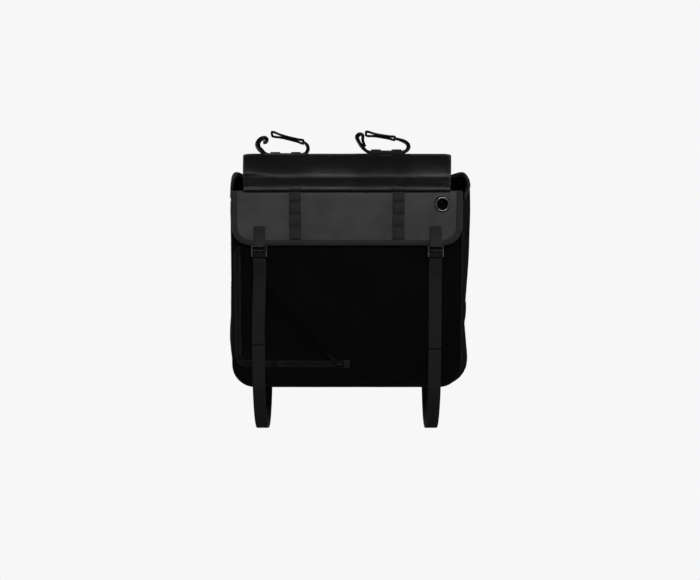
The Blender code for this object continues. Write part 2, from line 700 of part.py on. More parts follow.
def grommet_parts(fold, origin, front, back):
    """An eyelet whose barrel goes through the flap, and the washer behind that it is set on."""
    place = Vector((GROMMET_X, FLAP_FACE_Y, GROMMET_HEIGHT)) - origin
    bore, barrel = GROMMET_BORE, GROMMET_BORE + 0.001
    rim = FLAP_FACE_Y - front
    tail = FLAP_FACE_Y - back - 0.0016
    eyelet = [
        (bore, tail), (barrel, tail), (barrel, rim), (GROMMET_RADIUS, rim), (GROMMET_RADIUS - 0.0004, 0.0013),
        (0.0118, 0.0023), (0.0104, 0.0026), (0.0092, 0.0021), (bore, 0.0010),
    ]
    turned("grommet", eyelet[::-1], fold, gunmetal(), place)
    near, far = FLAP_FACE_Y - back, FLAP_FACE_Y - back - 0.0009
    washer = [(barrel + GAP, near), (barrel + GAP, far), (0.0115, far - 0.0003), (0.0126, far), (0.0126, near)]
    turned("grommet_washer", washer[::-1], fold, gunmetal(), place)


def buckle_parts(side, frame):
    """A ladder-lock buckle and the turn of strap round its locking bar, with the tab's bar at the origin."""
    inside, outside = BUCKLE_INSIDE_HALF, BUCKLE_HALF
    rail = [
        (0.0016, 0.0018), (-0.0016, 0.0018), (-0.0022, -0.0030), (-0.0054, -0.0095), (-0.0068, -0.0168),
        (-0.0047, -0.0175), (-0.0031, -0.0105), (-0.0006, -0.0086), (0.0016, -0.0080),
    ]
    lip = [(-0.0034, -0.0104), (-0.0055, -0.0100), (-0.0069, -0.0172), (-0.0060, -0.0182), (-0.0048, -0.0176)]
    body = add(f"buckle_{side}", prism_mesh("rail", rail, inside, outside), frame, buckle_plastic())
    helpers = [
        add(f"rail_{side}", prism_mesh("rail", rail, -outside, -inside), frame, buckle_plastic()),
        add(f"lip_{side}", prism_mesh("lip", lip, -outside + 0.0007, outside - 0.0007), frame, buckle_plastic()),
    ]
    for index, drop in enumerate((0, LOCK_BAR_DROP)):
        bar = rod_mesh("bar", BUCKLE_BAR_RADIUS, 2 * inside + 0.002, "X")
        helpers.append(add(f"bar_{side}_{index}", bar, frame, buckle_plastic()))
        helpers[-1].location = (0, 0, -drop)
    for helper in helpers:
        join(body, helper)
    hairpin = (
        [(TURN_RADIUS, -TURN_CUT), (TURN_RADIUS, -0.0115)]
        + arc((0, -LOCK_BAR_DROP), TURN_RADIUS, 0, 180, 10)
        + [(-TURN_RADIUS, -0.0115), (-TURN_RADIUS, -TURN_CUT)]
    )
    ribbon(f"strap_turn_{side}", hairpin, 0, STRAP_WIDTH, frame, webbing())


# ---- straps -----------------------------------------------------------------------------------
def strap_y(height, layer):
    """Middle of the strap in front of the bag: layer 0 lies on the panel, layer 1 on layer 0."""
    over_zip = 0.0013 * (1 - smooth_step((height - 0.055) / 0.03))
    rest = FRONT_FACE_Y - front_crown(STRAP_X["right"] - STRAP_WIDTH / 2, height) - 0.0014 - over_zip
    rest -= layer * (WEBBING + GAP)
    buckled = BUCKLE_BAR_Y + (TURN_RADIUS if layer == 0 else -TURN_RADIUS)
    return rest + (buckled - rest) * smooth_step((height - 0.150) / 0.058)


def strap_path():
    """From the anchor on the back, round the hanging loop and up the front to the buckle."""
    back = BACK_FACE_Y + GAP + WEBBING / 2
    loop = [
        (back, 0.082), (back, 0.040), (back, 0.008), (-0.0028, -0.014), (-0.0125, -0.040),
        (-0.0270, -0.0610), (-0.0450, -0.0765), (-0.0660, -0.0835), (-0.0890, -0.0815),
        (-0.1105, -0.0705), (-0.1290, -0.0520), (-0.1430, -0.0280), (-0.1505, -0.0080), (-0.1523, 0.0050),
    ]
    cut_height = BUCKLE_BAR_HEIGHT - TURN_CUT - GAP
    heights = [0.014 + (cut_height - 0.014) * i / 16 for i in range(17)]
    return smooth_curve(loop, 3) + [Vector((strap_y(h, 0), h)) for h in heights]


def tail_path(end):
    """From the buckle down over the strap, with the end folded back on itself and sewn."""
    start = BUCKLE_BAR_HEIGHT - TURN_CUT - GAP
    down = [(strap_y(h, 1), h) for h in (start + (end - start) * i / 14 for i in range(15))]
    y = down[-1][0]
    radius = (WEBBING + GAP) / 2
    fold = arc((y - radius, end), radius, 0, -180, 6)[1:]
    return down + fold + [(y - 2 * radius, end + TAIL_HEM)]


def strap_middle(side):
    """The strap's x as a function of height: it runs a little askew up to its buckle."""
    return lambda height: STRAP_X[side] + BUCKLE_SHIFT[side] * smooth_step((height - 0.09) / 0.11)


def strap_parts(root):
    for side in STRAP_X:
        middle = strap_middle(side)
        ribbon(f"strap_{side}", strap_path(), middle, STRAP_WIDTH, root, webbing())
        ribbon(f"strap_tail_{side}", tail_path(TAIL_END[side]), middle, STRAP_WIDTH - 0.0005, root, webbing())


# ---- carabiners -------------------------------------------------------------------------------
def carabiner_parts(root):
    spine_y = HEM_FACE_Y + GAP + WEBBING / 2 + LOOP_RADIUS
    for side, made in CARABINERS.items():
        lean = (-math.radians(made["lean"]), 0, 0)
        swing = empty(f"carabiner_swing_{side}", root, (made["x"], spine_y, made["height"]), lean)
        points = smooth_curve([[value / 1000 for value in knot] for knot in made["frame"]], 3)
        share = [point[2] / SPINE_RADIUS for point in points]
        line = [(along, 0, up) for along, up, _ in points]
        outline = tube(f"frame_line_{side}", line, SPINE_RADIUS, swing, black_anodised(), share)
        body = add(f"carabiner_frame_{side}", solid_of(outline), swing, black_anodised())
        hole = rod_mesh("pivot_hole", GATE_WIRE + GAP, 0.012, "Y")
        cutter = add(f"pivot_hole_{side}", hole, swing, black_anodised())
        cutter.location = (made["pivot"][0], 0, made["pivot"][1])
        cut(body, cutter)
        gate = empty(f"gate_hinge_{side}", swing, cutter.location)
        line = gate_line(made["pivot"], made["tip"])
        tube(f"carabiner_gate_{side}", line, GATE_WIRE, gate, black_anodised(), sides=2)
        for index, offset in enumerate(LOOP_OFFSETS, 1):
            name = f"carabiner_loop_{side}_{index}"
            path = loop_path(spine_y, made["height"])
            ribbon(name, path, made["x"] + offset, LOOP_WIDTH, root, webbing())


def solid_of(curve_piece):
    """The mesh of a tube, so that it can be cut. The tube is then removed."""
    bpy.context.view_layer.update()
    graph = bpy.context.evaluated_depsgraph_get()
    mesh = bpy.data.meshes.new_from_object(curve_piece.evaluated_get(graph))
    bm = bmesh.new()
    bm.from_mesh(mesh)
    bmesh.ops.remove_doubles(bm, verts=bm.verts, dist=1e-6)
    bpy.data.objects.remove(curve_piece)
    return mesh_of(bm, mesh.name, recalculate=True)


def gate_line(pivot, tip):
    """The gate's wire about its pivot: in at one side of the frame, out to the flared tip and back."""
    reach = Vector((tip[0] - pivot[0], tip[1] - pivot[1]))
    corner = 0.0014
    stations = ((0.03, 0.0), (0.35, 0.0), (0.62, 0.0), (0.74, 0.45), (0.84, 0.9), (0.96, 1.0))
    near = []
    for share, flare in stations:
        spread = GATE_SPREAD + (GATE_FLARE - GATE_SPREAD) * flare
        near.append((reach.x * share, -spread, reach.y * share))
    turn_in = [(0, -0.0012, 0), (0, -GATE_SPREAD + corner, 0), (-0.0005, -GATE_SPREAD + 0.0003, 0)]
    bend = [(reach.x, -GATE_FLARE + corner, reach.y)]
    one_side = turn_in + near + bend
    return one_side + [(u, -y, v) for u, y, v in reversed(one_side)]


def loop_path(spine_y, spine_height):
    """Webbing sewn to the back: up, over the carabiner's spine and down again on top of itself."""
    first = HEM_FACE_Y + GAP + WEBBING / 2
    second = first + WEBBING + GAP
    foot = spine_height - LOOP_LENGTH
    over = arc((spine_y, spine_height), LOOP_RADIUS, 180, -48, 14)
    return (
        [(first, foot), (first, spine_height - 0.014), (first, spine_height - 0.005)]
        + over
        + [(second + 0.0003, spine_height - 0.0105), (second, spine_height - 0.0125), (second, foot + 0.001)]
    )


def main():
    clear_scene()
    root = empty("bag", location=(0, 0, -ORIGIN_HEIGHT))
    back_parts(root)
    front_parts(root)
    gusset_parts(root)
    piping_parts(root)
    zip_parts(root)
    slider_parts(root)
    flap_parts(root)
    strap_parts(root)
    carabiner_parts(root)


main()
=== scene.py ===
import json
import math

import bmesh
import bpy
import numpy as np
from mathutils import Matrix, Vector, noise
from mathutils.bvhtree import BVHTree

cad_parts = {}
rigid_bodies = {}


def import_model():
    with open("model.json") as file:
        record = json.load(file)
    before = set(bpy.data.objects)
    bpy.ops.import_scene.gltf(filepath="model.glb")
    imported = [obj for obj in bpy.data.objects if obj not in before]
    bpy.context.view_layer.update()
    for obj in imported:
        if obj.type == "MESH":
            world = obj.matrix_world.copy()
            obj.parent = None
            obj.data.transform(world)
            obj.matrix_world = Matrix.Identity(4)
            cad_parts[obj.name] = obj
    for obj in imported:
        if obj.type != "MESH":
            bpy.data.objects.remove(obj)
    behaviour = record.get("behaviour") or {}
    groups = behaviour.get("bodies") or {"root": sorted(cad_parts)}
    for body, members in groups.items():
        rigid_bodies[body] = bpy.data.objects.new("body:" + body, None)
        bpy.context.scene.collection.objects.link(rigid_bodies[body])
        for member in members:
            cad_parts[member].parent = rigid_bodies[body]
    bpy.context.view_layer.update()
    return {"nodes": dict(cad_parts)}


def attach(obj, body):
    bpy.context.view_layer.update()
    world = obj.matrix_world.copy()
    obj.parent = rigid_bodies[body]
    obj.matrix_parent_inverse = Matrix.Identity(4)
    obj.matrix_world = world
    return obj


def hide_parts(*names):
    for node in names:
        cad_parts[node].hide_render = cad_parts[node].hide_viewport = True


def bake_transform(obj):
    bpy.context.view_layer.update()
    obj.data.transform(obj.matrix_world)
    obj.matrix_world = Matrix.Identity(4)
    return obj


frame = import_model()

# Lengths are in metres. Heights are above the bag's base, which is ORIGIN_HEIGHT below z = 0.
ORIGIN_HEIGHT = 0.185
WEBBING = 0.0014
GAP = 0.0003

# Body shell
FRONT_Y, FRONT_SEAM_Y, FRONT_HALF, FRONT_TOP = -0.1500, -0.1485, 0.1837, 0.3020
BACK_Y, BACK_SEAM_Y, BACK_HALF, BACK_TOP, BACK_CORNER = -0.0016, -0.0040, 0.1778, 0.3785, 0.010
CORNER_RADIUS = 0.035
EAR_TOP = 0.3425
CLOTH = 0.0013
PIPING_RADIUS = 0.0021

# Flap
HINGE = (-0.0025, 0.3812)
FOLD = (-0.1578, 0.3156)
NECK_KNOTS = (
    (-0.0025, 0.3812), (-0.012, 0.3775), (-0.028, 0.3665), (-0.050, 0.3540), (-0.072, 0.3450),
    (-0.092, 0.3410), (-0.103, 0.3375), (-0.116, 0.3290), (-0.128, 0.3225), (-0.142, 0.3195),
    (-0.152, 0.3180), (-0.1572, 0.3157),
)
FACE_Y, FACE_HALF, FACE_TOP, FACE_BOTTOM, FACE_RADIUS = -0.1575, 0.1820, 0.3150, 0.2292, 0.029
BINDING_WIDTH = 0.0090
DAISY_X, DAISY_WIDTH = 0.082, 0.019
DAISY_TACKS = (0.2975, 0.2785, 0.2590)
GROMMET = (0.1515, 0.2938)

# Straps and buckles
STRAP_X = {"left": -0.1422, "right": 0.1415}
BUCKLE_X = {"left": -0.1390, "right": 0.1410}
BUCKLE_BAR = (-0.1618, 0.2275)
LOCK_BAR_DROP = 0.0066
TURN_RADIUS = 0.00225
TURN_CUT = 0.0165
STRAP_WIDTH, TAB_WIDTH, LOOP_WIDTH = 0.0205, 0.0185, 0.0170
TAIL_END = {"left": 0.070, "right": 0.0635}

# Zip
ZIP_X, ZIP_HEIGHT, ZIP_TOP, ZIP_END_X, ZIP_RADIUS = -0.1758, 0.037, 0.226, -0.006, 0.014
SLIDER_X = -0.0125
PULL_ANGLE = 139


# ---- small helpers ----------------------------------------------------------------------------
def step(t):
    """Smooth rise from 0 to 1 as t goes from 0 to 1."""
    t = min(1.0, max(0.0, t))
    return t * t * (3 - 2 * t)


def bump(t):
    """One smooth hump: 1 at 0 and nothing from -1 and 1 outwards."""
    return (1 - t * t) ** 2 if abs(t) < 1 else 0.0


def at(x, y, height):
    """A point given by its height above the bag's base."""
    return Vector((x, y, height - ORIGIN_HEIGHT))


def wander(x, y, seed, size=0.05):
    """Smooth noise from about -1 to 1 whose features are as large as size."""
    return noise.noise(Vector((x / size + 7.3 * seed, y / size - 3.1 * seed, seed * 1.7)))


GROMMET_PLACE = at(GROMMET[0], FACE_Y, GROMMET[1])


def spline(knots, steps):
    """Catmull-Rom curve through the knots, which may have any number of coordinates."""
    points = [np.array(k, float) for k in knots]
    points = [2 * points[0] - points[1]] + points + [2 * points[-1] - points[-2]]
    line = []
    for a, b, c, d in zip(points, points[1:], points[2:], points[3:]):
        for i in range(steps):
            t = i / steps
            line.append(0.5 * (2 * b + (c - a) * t + (2 * a - 5 * b + 4 * c - d) * t**2
                               + (3 * b - a - 3 * c + d) * t**3))
    line.append(points[-2])
    return line


def arc(centre, radius, start, end, steps):
    """Points of a circular arc between two angles in degrees."""
    angles = [math.radians(start + (end - start) * i / steps) for i in range(steps + 1)]
    return [(centre[0] + radius * math.cos(a), centre[1] + radius * math.sin(a)) for a in angles]


def even(points, spacing):
    """The same polyline with points at an even spacing."""
    points = [Vector(p) for p in points]
    lengths = [0.0]
    for a, b in zip(points, points[1:]):
        lengths.append(lengths[-1] + (b - a).length)
    count = max(2, round(lengths[-1] / spacing))
    line, k = [], 0
    for i in range(count + 1):
        goal = lengths[-1] * i / count
        while k < len(points) - 2 and lengths[k + 1] < goal:
            k += 1
        share = (goal - lengths[k]) / max(1e-9, lengths[k + 1] - lengths[k])
        line.append(points[k].lerp(points[k + 1], min(1.0, share)))
    return line


def heading(points, i):
    """Direction of a polyline at its point i."""
    return (points[min(i + 1, len(points) - 1)] - points[max(i - 1, 0)]).normalized()


def make(name, verts, faces, material, uvs=None, smooth=True, solid=False):
    """A mesh object. uvs gives one (u, v) in metres for each vertex, or for each face's corners."""
    mesh = bpy.data.meshes.new(name)
    mesh.from_pydata([tuple(v) for v in verts], [], faces)
    layer = mesh.uv_layers.new(name="weave")
    if uvs is not None:
        if len(uvs) == len(verts):
            uvs = [[uvs[index] for index in face] for face in faces]
        flat = [float(value) for corners in uvs for uv in corners for value in uv]
        layer.data.foreach_set("uv", flat)
    if smooth:
        mesh.polygons.foreach_set("use_smooth", [True] * len(faces))
    mesh.materials.append(material)
    mesh.validate()
    if solid:
        bm = bmesh.new()
        bm.from_mesh(mesh)
        bmesh.ops.recalc_face_normals(bm, faces=bm.faces)
        bm.to_mesh(mesh)
        bm.free()
    made = bpy.data.objects.new(name, mesh)
    bpy.context.scene.collection.objects.link(made)
    return made


def bake(piece):
    """Applies the piece's modifiers."""
    bpy.context.view_layer.update()
    shaped = bpy.data.meshes.new_from_object(piece.evaluated_get(bpy.context.evaluated_depsgraph_get()))
    old = piece.data
    piece.modifiers.clear()
    piece.data = shaped
    bpy.data.meshes.remove(old)
    return piece


def thicken(piece, thickness):
    """Gives a sheet its thickness, on its inner side."""
    made = piece.modifiers.new("thickness", "SOLIDIFY")
    made.thickness = thickness
    made.offset = -1.0
    made.use_quality_normals = True
    return bake(piece)


def band(a, b, count):
    """Faces between two rings of vertices that start at a and b."""
    return [(a + j, a + (j + 1) % count, b + (j + 1) % count, b + j) for j in range(count)]


def sweep(name, points, sides, section, material, scale=None):
    """A closed solid along points. sides gives the section's first axis at each point, and the section
    is a loop of (along that axis, along the normal)."""
    points = [Vector(p) for p in points]
    count, ring = len(points), len(section)
    verts, uvs, run = [], [], 0.0
    around = [0.0]
    for a, b in zip(section, section[1:]):
        around.append(around[-1] + math.hypot(b[0] - a[0], b[1] - a[1]))
    for i, p in enumerate(points):
        tangent = heading(points, i)
        side = Vector(sides[i] if isinstance(sides, list) else sides)
        side = (side - tangent * side.dot(tangent)).normalized()
        normal = side.cross(tangent)
        if i:
            run += (p - points[i - 1]).length
        k = scale[i] if scale else 1.0
        for (u, v), length in zip(section, around):
            verts.append(p + side * u * k + normal * v * k)
            uvs.append((length, run))
    faces = []
    for i in range(count - 1):
        faces += band(i * ring, (i + 1) * ring, ring)
    faces.append(tuple(reversed(range(ring))))
    faces.append(tuple(range((count - 1) * ring, count * ring)))
    return make(name, verts, faces, material, uvs, solid=True)


def strip_section(width, thickness):
    """Webbing's section: flat faces, rounded selvedges and a very slight crown."""
    w, t = width / 2, thickness / 2
    half = [(-w, 0), (-w + t * 0.35, t * 0.75), (-w + t * 1.1, t), (-w * 0.5, t * 1.04), (0, t * 1.08),
            (w * 0.5, t * 1.04), (w - t * 1.1, t), (w - t * 0.35, t * 0.75), (w, 0)]
    return half + [(u, -v) for u, v in reversed(half[1:-1])]


def oval(across, deep, sides, power=1.0):
    """A rounded section; a power below 1 makes it squarer."""
    angles = [2 * math.pi * i / sides for i in range(sides)]
    return [(across * math.copysign(abs(math.cos(a)) ** power, math.cos(a)),
             -deep * math.copysign(abs(math.sin(a)) ** power, math.sin(a))) for a in angles]


def tube(name, points, radius, material, sides=12, scale=None, up=(0, 1, 0)):
    """A round solid whose section is carried along without twist."""
    points = [Vector(p) for p in points]
    directions, side = [], Vector(up)
    for i in range(len(points)):
        tangent = heading(points, i)
        side = side - tangent * side.dot(tangent)
        side = side.normalized() if side.length > 1e-6 else tangent.orthogonal().normalized()
        directions.append(tuple(side))
    return sweep(name, points, directions, oval(radius, radius, sides), material, scale)


def grid_faces(rows, columns, flip=False):
    """Faces of a grid whose vertices are listed row by row."""
    faces = []
    for j in range(rows - 1):
        for i in range(columns - 1):
            a = j * columns + i
            face = (a, a + 1, a + columns + 1, a + columns)
            faces.append(face[::-1] if flip else face)
    return faces


def sheet(name, rows, columns, place, material, thickness):
    """A thickened grid: place(row, column) gives each vertex and its (u, v) in metres."""
    spots = [place(j, k) for j in range(rows) for k in range(columns)]
    faces = grid_faces(rows, columns, flip=True)
    made = make(name, [point for point, _ in spots], faces, material, [uv for _, uv in spots])
    return thicken(made, thickness)


def joined(name, pieces):
    """One object made of several, with its parts' materials."""
    bpy.context.view_layer.update()
    for piece in bpy.context.scene.objects:
        piece.select_set(piece in pieces)
    bpy.context.view_layer.objects.active = pieces[0]
    with bpy.context.temp_override(active_object=pieces[0], selected_editable_objects=pieces):
        bpy.ops.object.join()
    pieces[0].name = pieces[0].data.name = name
    return pieces[0]


# A stitch's four rings, as (share of its length, share of its radius, lift in radii)
STITCH_RINGS = ((-0.5, 0.35, -0.9), (-0.28, 1, 0), (0.28, 1, 0), (0.5, 0.35, -0.9))
SEAM = {"pitch": 0.0032, "length": 0.0021, "radius": 0.00028}
FINE_SEAM = {"pitch": 0.0028, "length": 0.0018, "radius": 0.00022}
TACK_SEAM = {"pitch": 0.0018, "length": 0.0015, "radius": 0.00022}
BINDING_SEAM = {"pitch": 0.0030, "length": 0.0020, "radius": 0.00026}
BOX_SEAM = {"pitch": 0.0026, "length": 0.0018, "radius": 0.00026}
THREAD = {}


def stitch(group, points, normals, pitch, length, radius, sink=0.0):
    """Adds a row of stitches along points to a group. Each is a short thread that dips in at both ends."""
    points = [Vector(p) for p in points]
    normals = [Vector(n) for n in normals] if isinstance(normals, list) else [Vector(normals)] * len(points)
    verts, faces = THREAD.setdefault(group, ([], []))
    gap = pitch
    for a, b, n in zip(points, points[1:], normals):
        run = (b - a).length
        if run < 1e-7:
            continue
        tangent = (b - a) / run
        while gap <= run:
            centre = a + tangent * gap + n * (radius * 0.75 - sink)
            side = tangent.cross(n).normalized()
            start = len(verts)
            for share, thick, lift in STITCH_RINGS:
                middle = centre + tangent * length * share + n * radius * lift
                for u, v in ((1, 0), (0, 1), (-1, 0), (0, -1)):
                    verts.append(middle + side * u * radius * thick + n * v * radius * thick)
            for ring in (start, start + 4, start + 8):
                faces += band(ring, ring + 4, 4)
            faces.append((start, start + 3, start + 2, start + 1))
            faces.append((start + 12, start + 13, start + 14, start + 15))
            gap += pitch
        gap -= run


# ---- materials --------------------------------------------------------------------------------
class Nodes:
    """Short calls for building one material's nodes."""

    def __init__(self, name, colour, roughness, specular=0.5, metallic=0.0, sheen=0.0, sheen_roughness=0.5):
        self.material = bpy.data.materials.new(name)
        self.material.use_nodes = True
        self.tree = self.material.node_tree
        self.shader = self.tree.nodes["Principled BSDF"]
        values = {
            "Base Color": (*colour, 1), "Roughness": roughness, "Specular IOR Level": specular,
            "Metallic": metallic, "Sheen Weight": sheen, "Sheen Roughness": sheen_roughness,
        }
        for key, value in values.items():
            self.shader.inputs[key].default_value = value
        self.colour = colour

    def node(self, kind, **values):
        """A new node with the given properties and socket values."""
        made = self.tree.nodes.new(kind)
        for key, value in values.items():
            if hasattr(made, key) and key not in made.inputs:
                setattr(made, key, value)
            else:
                made.inputs[key].default_value = value
        return made

    def link(self, source, target):
        self.tree.links.new(source, target)

    def place(self, source, scale):
        """Coordinates times scale: the weave's UVs in metres, or the piece's own space."""
        texture = self.node("ShaderNodeTexCoord")
        mapping = self.node("ShaderNodeMapping")
        mapping.inputs["Scale"].default_value = scale
        self.link(texture.outputs[source], mapping.inputs["Vector"])
        return mapping.outputs["Vector"]

    def noise(self, size, detail=3.0, rough=0.5):
        """Noise in the piece's own space, with features of one size."""
        made = self.node("ShaderNodeTexNoise", Scale=1.0, Detail=detail, Roughness=rough)
        self.link(self.place("Object", (1 / size, 1 / size, 1 / size)), made.inputs["Vector"])
        return made.outputs["Fac"]

    def waves(self, pitch, axis):
        """Bands across one axis of the UVs, one band for each pitch."""
        scale = [0.0, 0.0, 0.0]
        scale["XYZ".index(axis)] = math.pi / (10 * pitch)
        made = self.node("ShaderNodeTexWave", wave_type="BANDS", bands_direction=axis, Scale=1.0)
        self.link(self.place("UV", scale), made.inputs["Vector"])
        return made.outputs["Fac"]

    def math(self, operation, a, b):
        """One operation on two sockets, or on a socket and a number."""
        made = self.node("ShaderNodeMath", operation=operation)
        for socket, value in zip(made.inputs, (a, b)):
            if isinstance(value, (int, float)):
                socket.default_value = value
            else:
                self.link(value, socket)
        return made.outputs[0]

    def mixed(self, a, share, b):
        """A share of a with the rest of b."""
        return self.math("ADD", self.math("MULTIPLY", a, share), self.math("MULTIPLY", b, 1 - share))

    def ramp(self, source, low, high, to_low=0.0, to_high=1.0):
        """The source's range from low to high, stretched to another range."""
        limits = {"From Min": low, "From Max": high, "To Min": to_low, "To Max": to_high}
        made = self.node("ShaderNodeMapRange", **limits)
        self.link(source, made.inputs["Value"])
        return made.outputs["Result"]

    def tint(self, factor, dark, light):
        """Base colour from dark to light, as shares of the material's colour."""
        made = self.node("ShaderNodeMix")
        made.data_type = "RGBA"
        made.inputs[6].default_value = (*[c * dark for c in self.colour], 1)
        made.inputs[7].default_value = (*[c * light for c in self.colour], 1)
        self.link(factor, made.inputs[0])
        self.link(made.outputs[2], self.shader.inputs["Base Color"])

    def rough(self, factor, low, high):
        """Roughness from low to high."""
        self.link(self.ramp(factor, 0, 1, low, high), self.shader.inputs["Roughness"])

    def relief(self, *layers):
        """Bump from (height, distance in metres) layers, one on another."""
        normal = None
        for height, distance in layers:
            made = self.node("ShaderNodeBump", Strength=1.0, Distance=distance)
            self.link(height, made.inputs["Height"])
            if normal is not None:
                self.link(normal, made.inputs["Normal"])
            normal = made.outputs["Normal"]
        self.link(normal, self.shader.inputs["Normal"])


def cloth_material(name, colour, pitch, roughness, specular, sheen, depth, patch=0.06, wrinkle=0.0004):
    """Coated cloth: a fine plain weave, patches where the coating is worn, and faint creasing."""
    n = Nodes(name, colour, roughness, specular, sheen=sheen, sheen_roughness=0.45)
    threads = n.math("MULTIPLY", n.waves(pitch, "X"), n.waves(pitch, "Y"))
    worn = n.ramp(n.noise(patch, 4.0), 0.32, 0.68)
    grain = n.noise(0.0016, 2.0)
    creases = n.noise(0.018, 5.0, rough=0.62)
    n.tint(n.mixed(threads, 0.35, worn), 0.62, 1.38)
    n.rough(n.mixed(worn, 0.6, grain), roughness - 0.06, roughness + 0.06)
    n.relief((threads, depth), (grain, depth * 0.6), (creases, wrinkle))
    return n.material


def webbing_material(name, colour, roughness, specular):
    """Woven polyester webbing: ribs across its width, broken by lengthwise chains of yarn."""
    n = Nodes(name, colour, roughness, specular, sheen=0.05, sheen_roughness=0.4)
    ribs = n.waves(0.00125, "Y")
    chains = n.waves(0.0021, "X")
    fuzz = n.noise(0.0009)
    wear = n.noise(0.03, 4.0)
    weft = n.math("MULTIPLY", ribs, n.math("ADD", n.math("MULTIPLY", chains, 0.55), 0.45))
    n.tint(n.mixed(weft, 0.55, wear), 0.6, 1.35)
    n.rough(wear, roughness - 0.08, roughness + 0.12)
    n.relief((weft, 0.00022), (fuzz, 0.00007))
    return n.material


def tape_material(name, colour, roughness, specular):
    """Grosgrain binding: close fine ribs and a soft sheen."""
    n = Nodes(name, colour, roughness, specular, sheen=0.05, sheen_roughness=0.4)
    ribs = n.waves(0.0008, "Y")
    fuzz = n.noise(0.0012)
    wear = n.noise(0.025)
    n.tint(n.mixed(ribs, 0.4, wear), 0.7, 1.3)
    n.rough(wear, roughness - 0.08, roughness + 0.1)
    n.relief((ribs, 0.00012), (fuzz, 0.00006))
    return n.material


def moulded_material(name, colour, roughness, specular, metallic=0.0, grain=0.0004, depth=0.00002,
                     edge=1.6):
    """Moulded plastic or coated metal: fine grain, rubbed edges and uneven gloss."""
    n = Nodes(name, colour, roughness, specular, metallic)
    fine = n.noise(grain, 2.0)
    smears = n.noise(0.012, 4.0)
    sharp = n.node("ShaderNodeNewGeometry").outputs["Pointiness"]
    rubbed = n.ramp(sharp, 0.51, 0.58)
    n.tint(n.math("MAXIMUM", n.math("MULTIPLY", smears, 0.4), rubbed), 0.8, edge)
    n.rough(smears, max(0.05, roughness - 0.08), roughness + 0.12)
    n.relief((fine, depth))
    return n.material


def grey(value, cool=0.0):
    """A grey, a little towards blue."""
    return (value, value, value + cool)


BODY = cloth_material("body_cloth", grey(0.0018, 0.0001), 0.0009, 0.84, 0.03, 0.0, 0.00012)
COATED = cloth_material("flap_cloth", grey(0.0300, 0.0011), 0.0008, 0.60, 0.18, 0.01, 0.00007, patch=0.05)
NECK = cloth_material("neck_cloth", grey(0.0036, 0.0003), 0.0008, 0.50, 0.24, 0.0, 0.00007, patch=0.05)
LINING = cloth_material("lining_cloth", grey(0.006, 0.0003), 0.0007, 0.6, 0.2, 0.01, 0.00006)
WEB = webbing_material("webbing", grey(0.0088, 0.0004), 0.68, 0.10)
FLAP_WEB = webbing_material("flap_webbing", grey(0.0152, 0.0008), 0.68, 0.12)
TAPE = tape_material("binding_tape", grey(0.0150, 0.0007), 0.64, 0.12)
DARK_TAPE = tape_material("body_tape", grey(0.0018, 0.0002), 0.70, 0.05)
CORD = tape_material("piping_cloth", grey(0.0014, 0.0002), 0.68, 0.05)
THREAD_DARK = moulded_material("thread", grey(0.004, 0.0002), 0.6, 0.15, grain=0.0003, depth=0.00003)
FLAP_THREAD = moulded_material("flap_thread", grey(0.0055, 0.0002), 0.6, 0.2, grain=0.0003, depth=0.00003)
ZIP_TAPE = tape_material("zip_tape", grey(0.0030, 0.0002), 0.60, 0.10)
ZIP_COIL = moulded_material("zip_coil", grey(0.0028, 0.0002), 0.46, 0.20)
BUCKLE = moulded_material("buckle_plastic", grey(0.0030, 0.0002), 0.42, 0.32, grain=0.0003, depth=0.00001)
GRIP = moulded_material("buckle_grip", grey(0.0022, 0.0002), 0.62, 0.06, grain=0.0003, depth=0.00003)
# A darker copy of the strap webbing: painted shade for the strap where it turns inside the buckle
SHADED_TURN_WEB = webbing_material("turned_webbing_painted_shade", grey(0.0034, 0.0002), 0.70, 0.06)
ANODISED = moulded_material("anodised", grey(0.0012, 0.0001), 0.36, 0.14, grain=0.0005, depth=0.00001,
                            edge=2.0)
WIRE = moulded_material("gate_wire", grey(0.0012, 0.0001), 0.36, 0.12, depth=0.00001, edge=2.0)
GUNMETAL = moulded_material("gunmetal", grey(0.11, 0.003), 0.26, 0.5, 1.0, grain=0.0006, depth=0.00001,
                            edge=1.3)
RUBBER = moulded_material("patch_rubber", grey(0.0030, 0.0002), 0.7, 0.2, grain=0.0011, depth=0.00016,
                          edge=1.2)
BOARD = moulded_material("board_sheet", grey(0.008), 0.55, 0.3, grain=0.0015, depth=0.00008, edge=1.3)


# ---- the body: one lofted shell, settled as cloth ---------------------------------------------
SIDE_ROWS, CORNER_ROWS, COLUMNS, DEPTHS, TOP_ROWS = 54, 8, 72, 28, 8
ROWS = SIDE_ROWS + CORNER_ROWS
SEAM_LIFT = 0.0004
AROUND = 2 * ROWS + COLUMNS + 1
# The soft crease that the zip's weight pulls up and outwards from its closed end, as (x, height)
CREASE = ((-0.0130, 0.0430), (-0.0600, 0.0960), (-0.1260, 0.1700), (-0.1800, 0.2330))


def outline_rows(top, half):
    """(height, half width) down a side and round the bottom corner."""
    straight = top - SEAM_LIFT - CORNER_RADIUS
    rows = [(SEAM_LIFT + CORNER_RADIUS + straight * (1 - j / SIDE_ROWS), half) for j in range(SIDE_ROWS)]
    for k in range(CORNER_ROWS + 1):
        a = math.pi / 2 * k / CORNER_ROWS
        height = SEAM_LIFT + CORNER_RADIUS * (1 - math.sin(a))
        rows.append((height, half - CORNER_RADIUS * (1 - math.cos(a))))
    return rows


def u_line(top_left, top_right, half):
    """The outline of the left side, the bottom and the right side, as (x, height)."""
    left, right = outline_rows(top_left, half), outline_rows(top_right, half)
    base = half - CORNER_RADIUS
    bottom = [(-base + 2 * base * i / COLUMNS, SEAM_LIFT) for i in range(1, COLUMNS)]
    return [(-w, h) for h, w in left] + bottom + [(w, h) for h, w in reversed(right)]


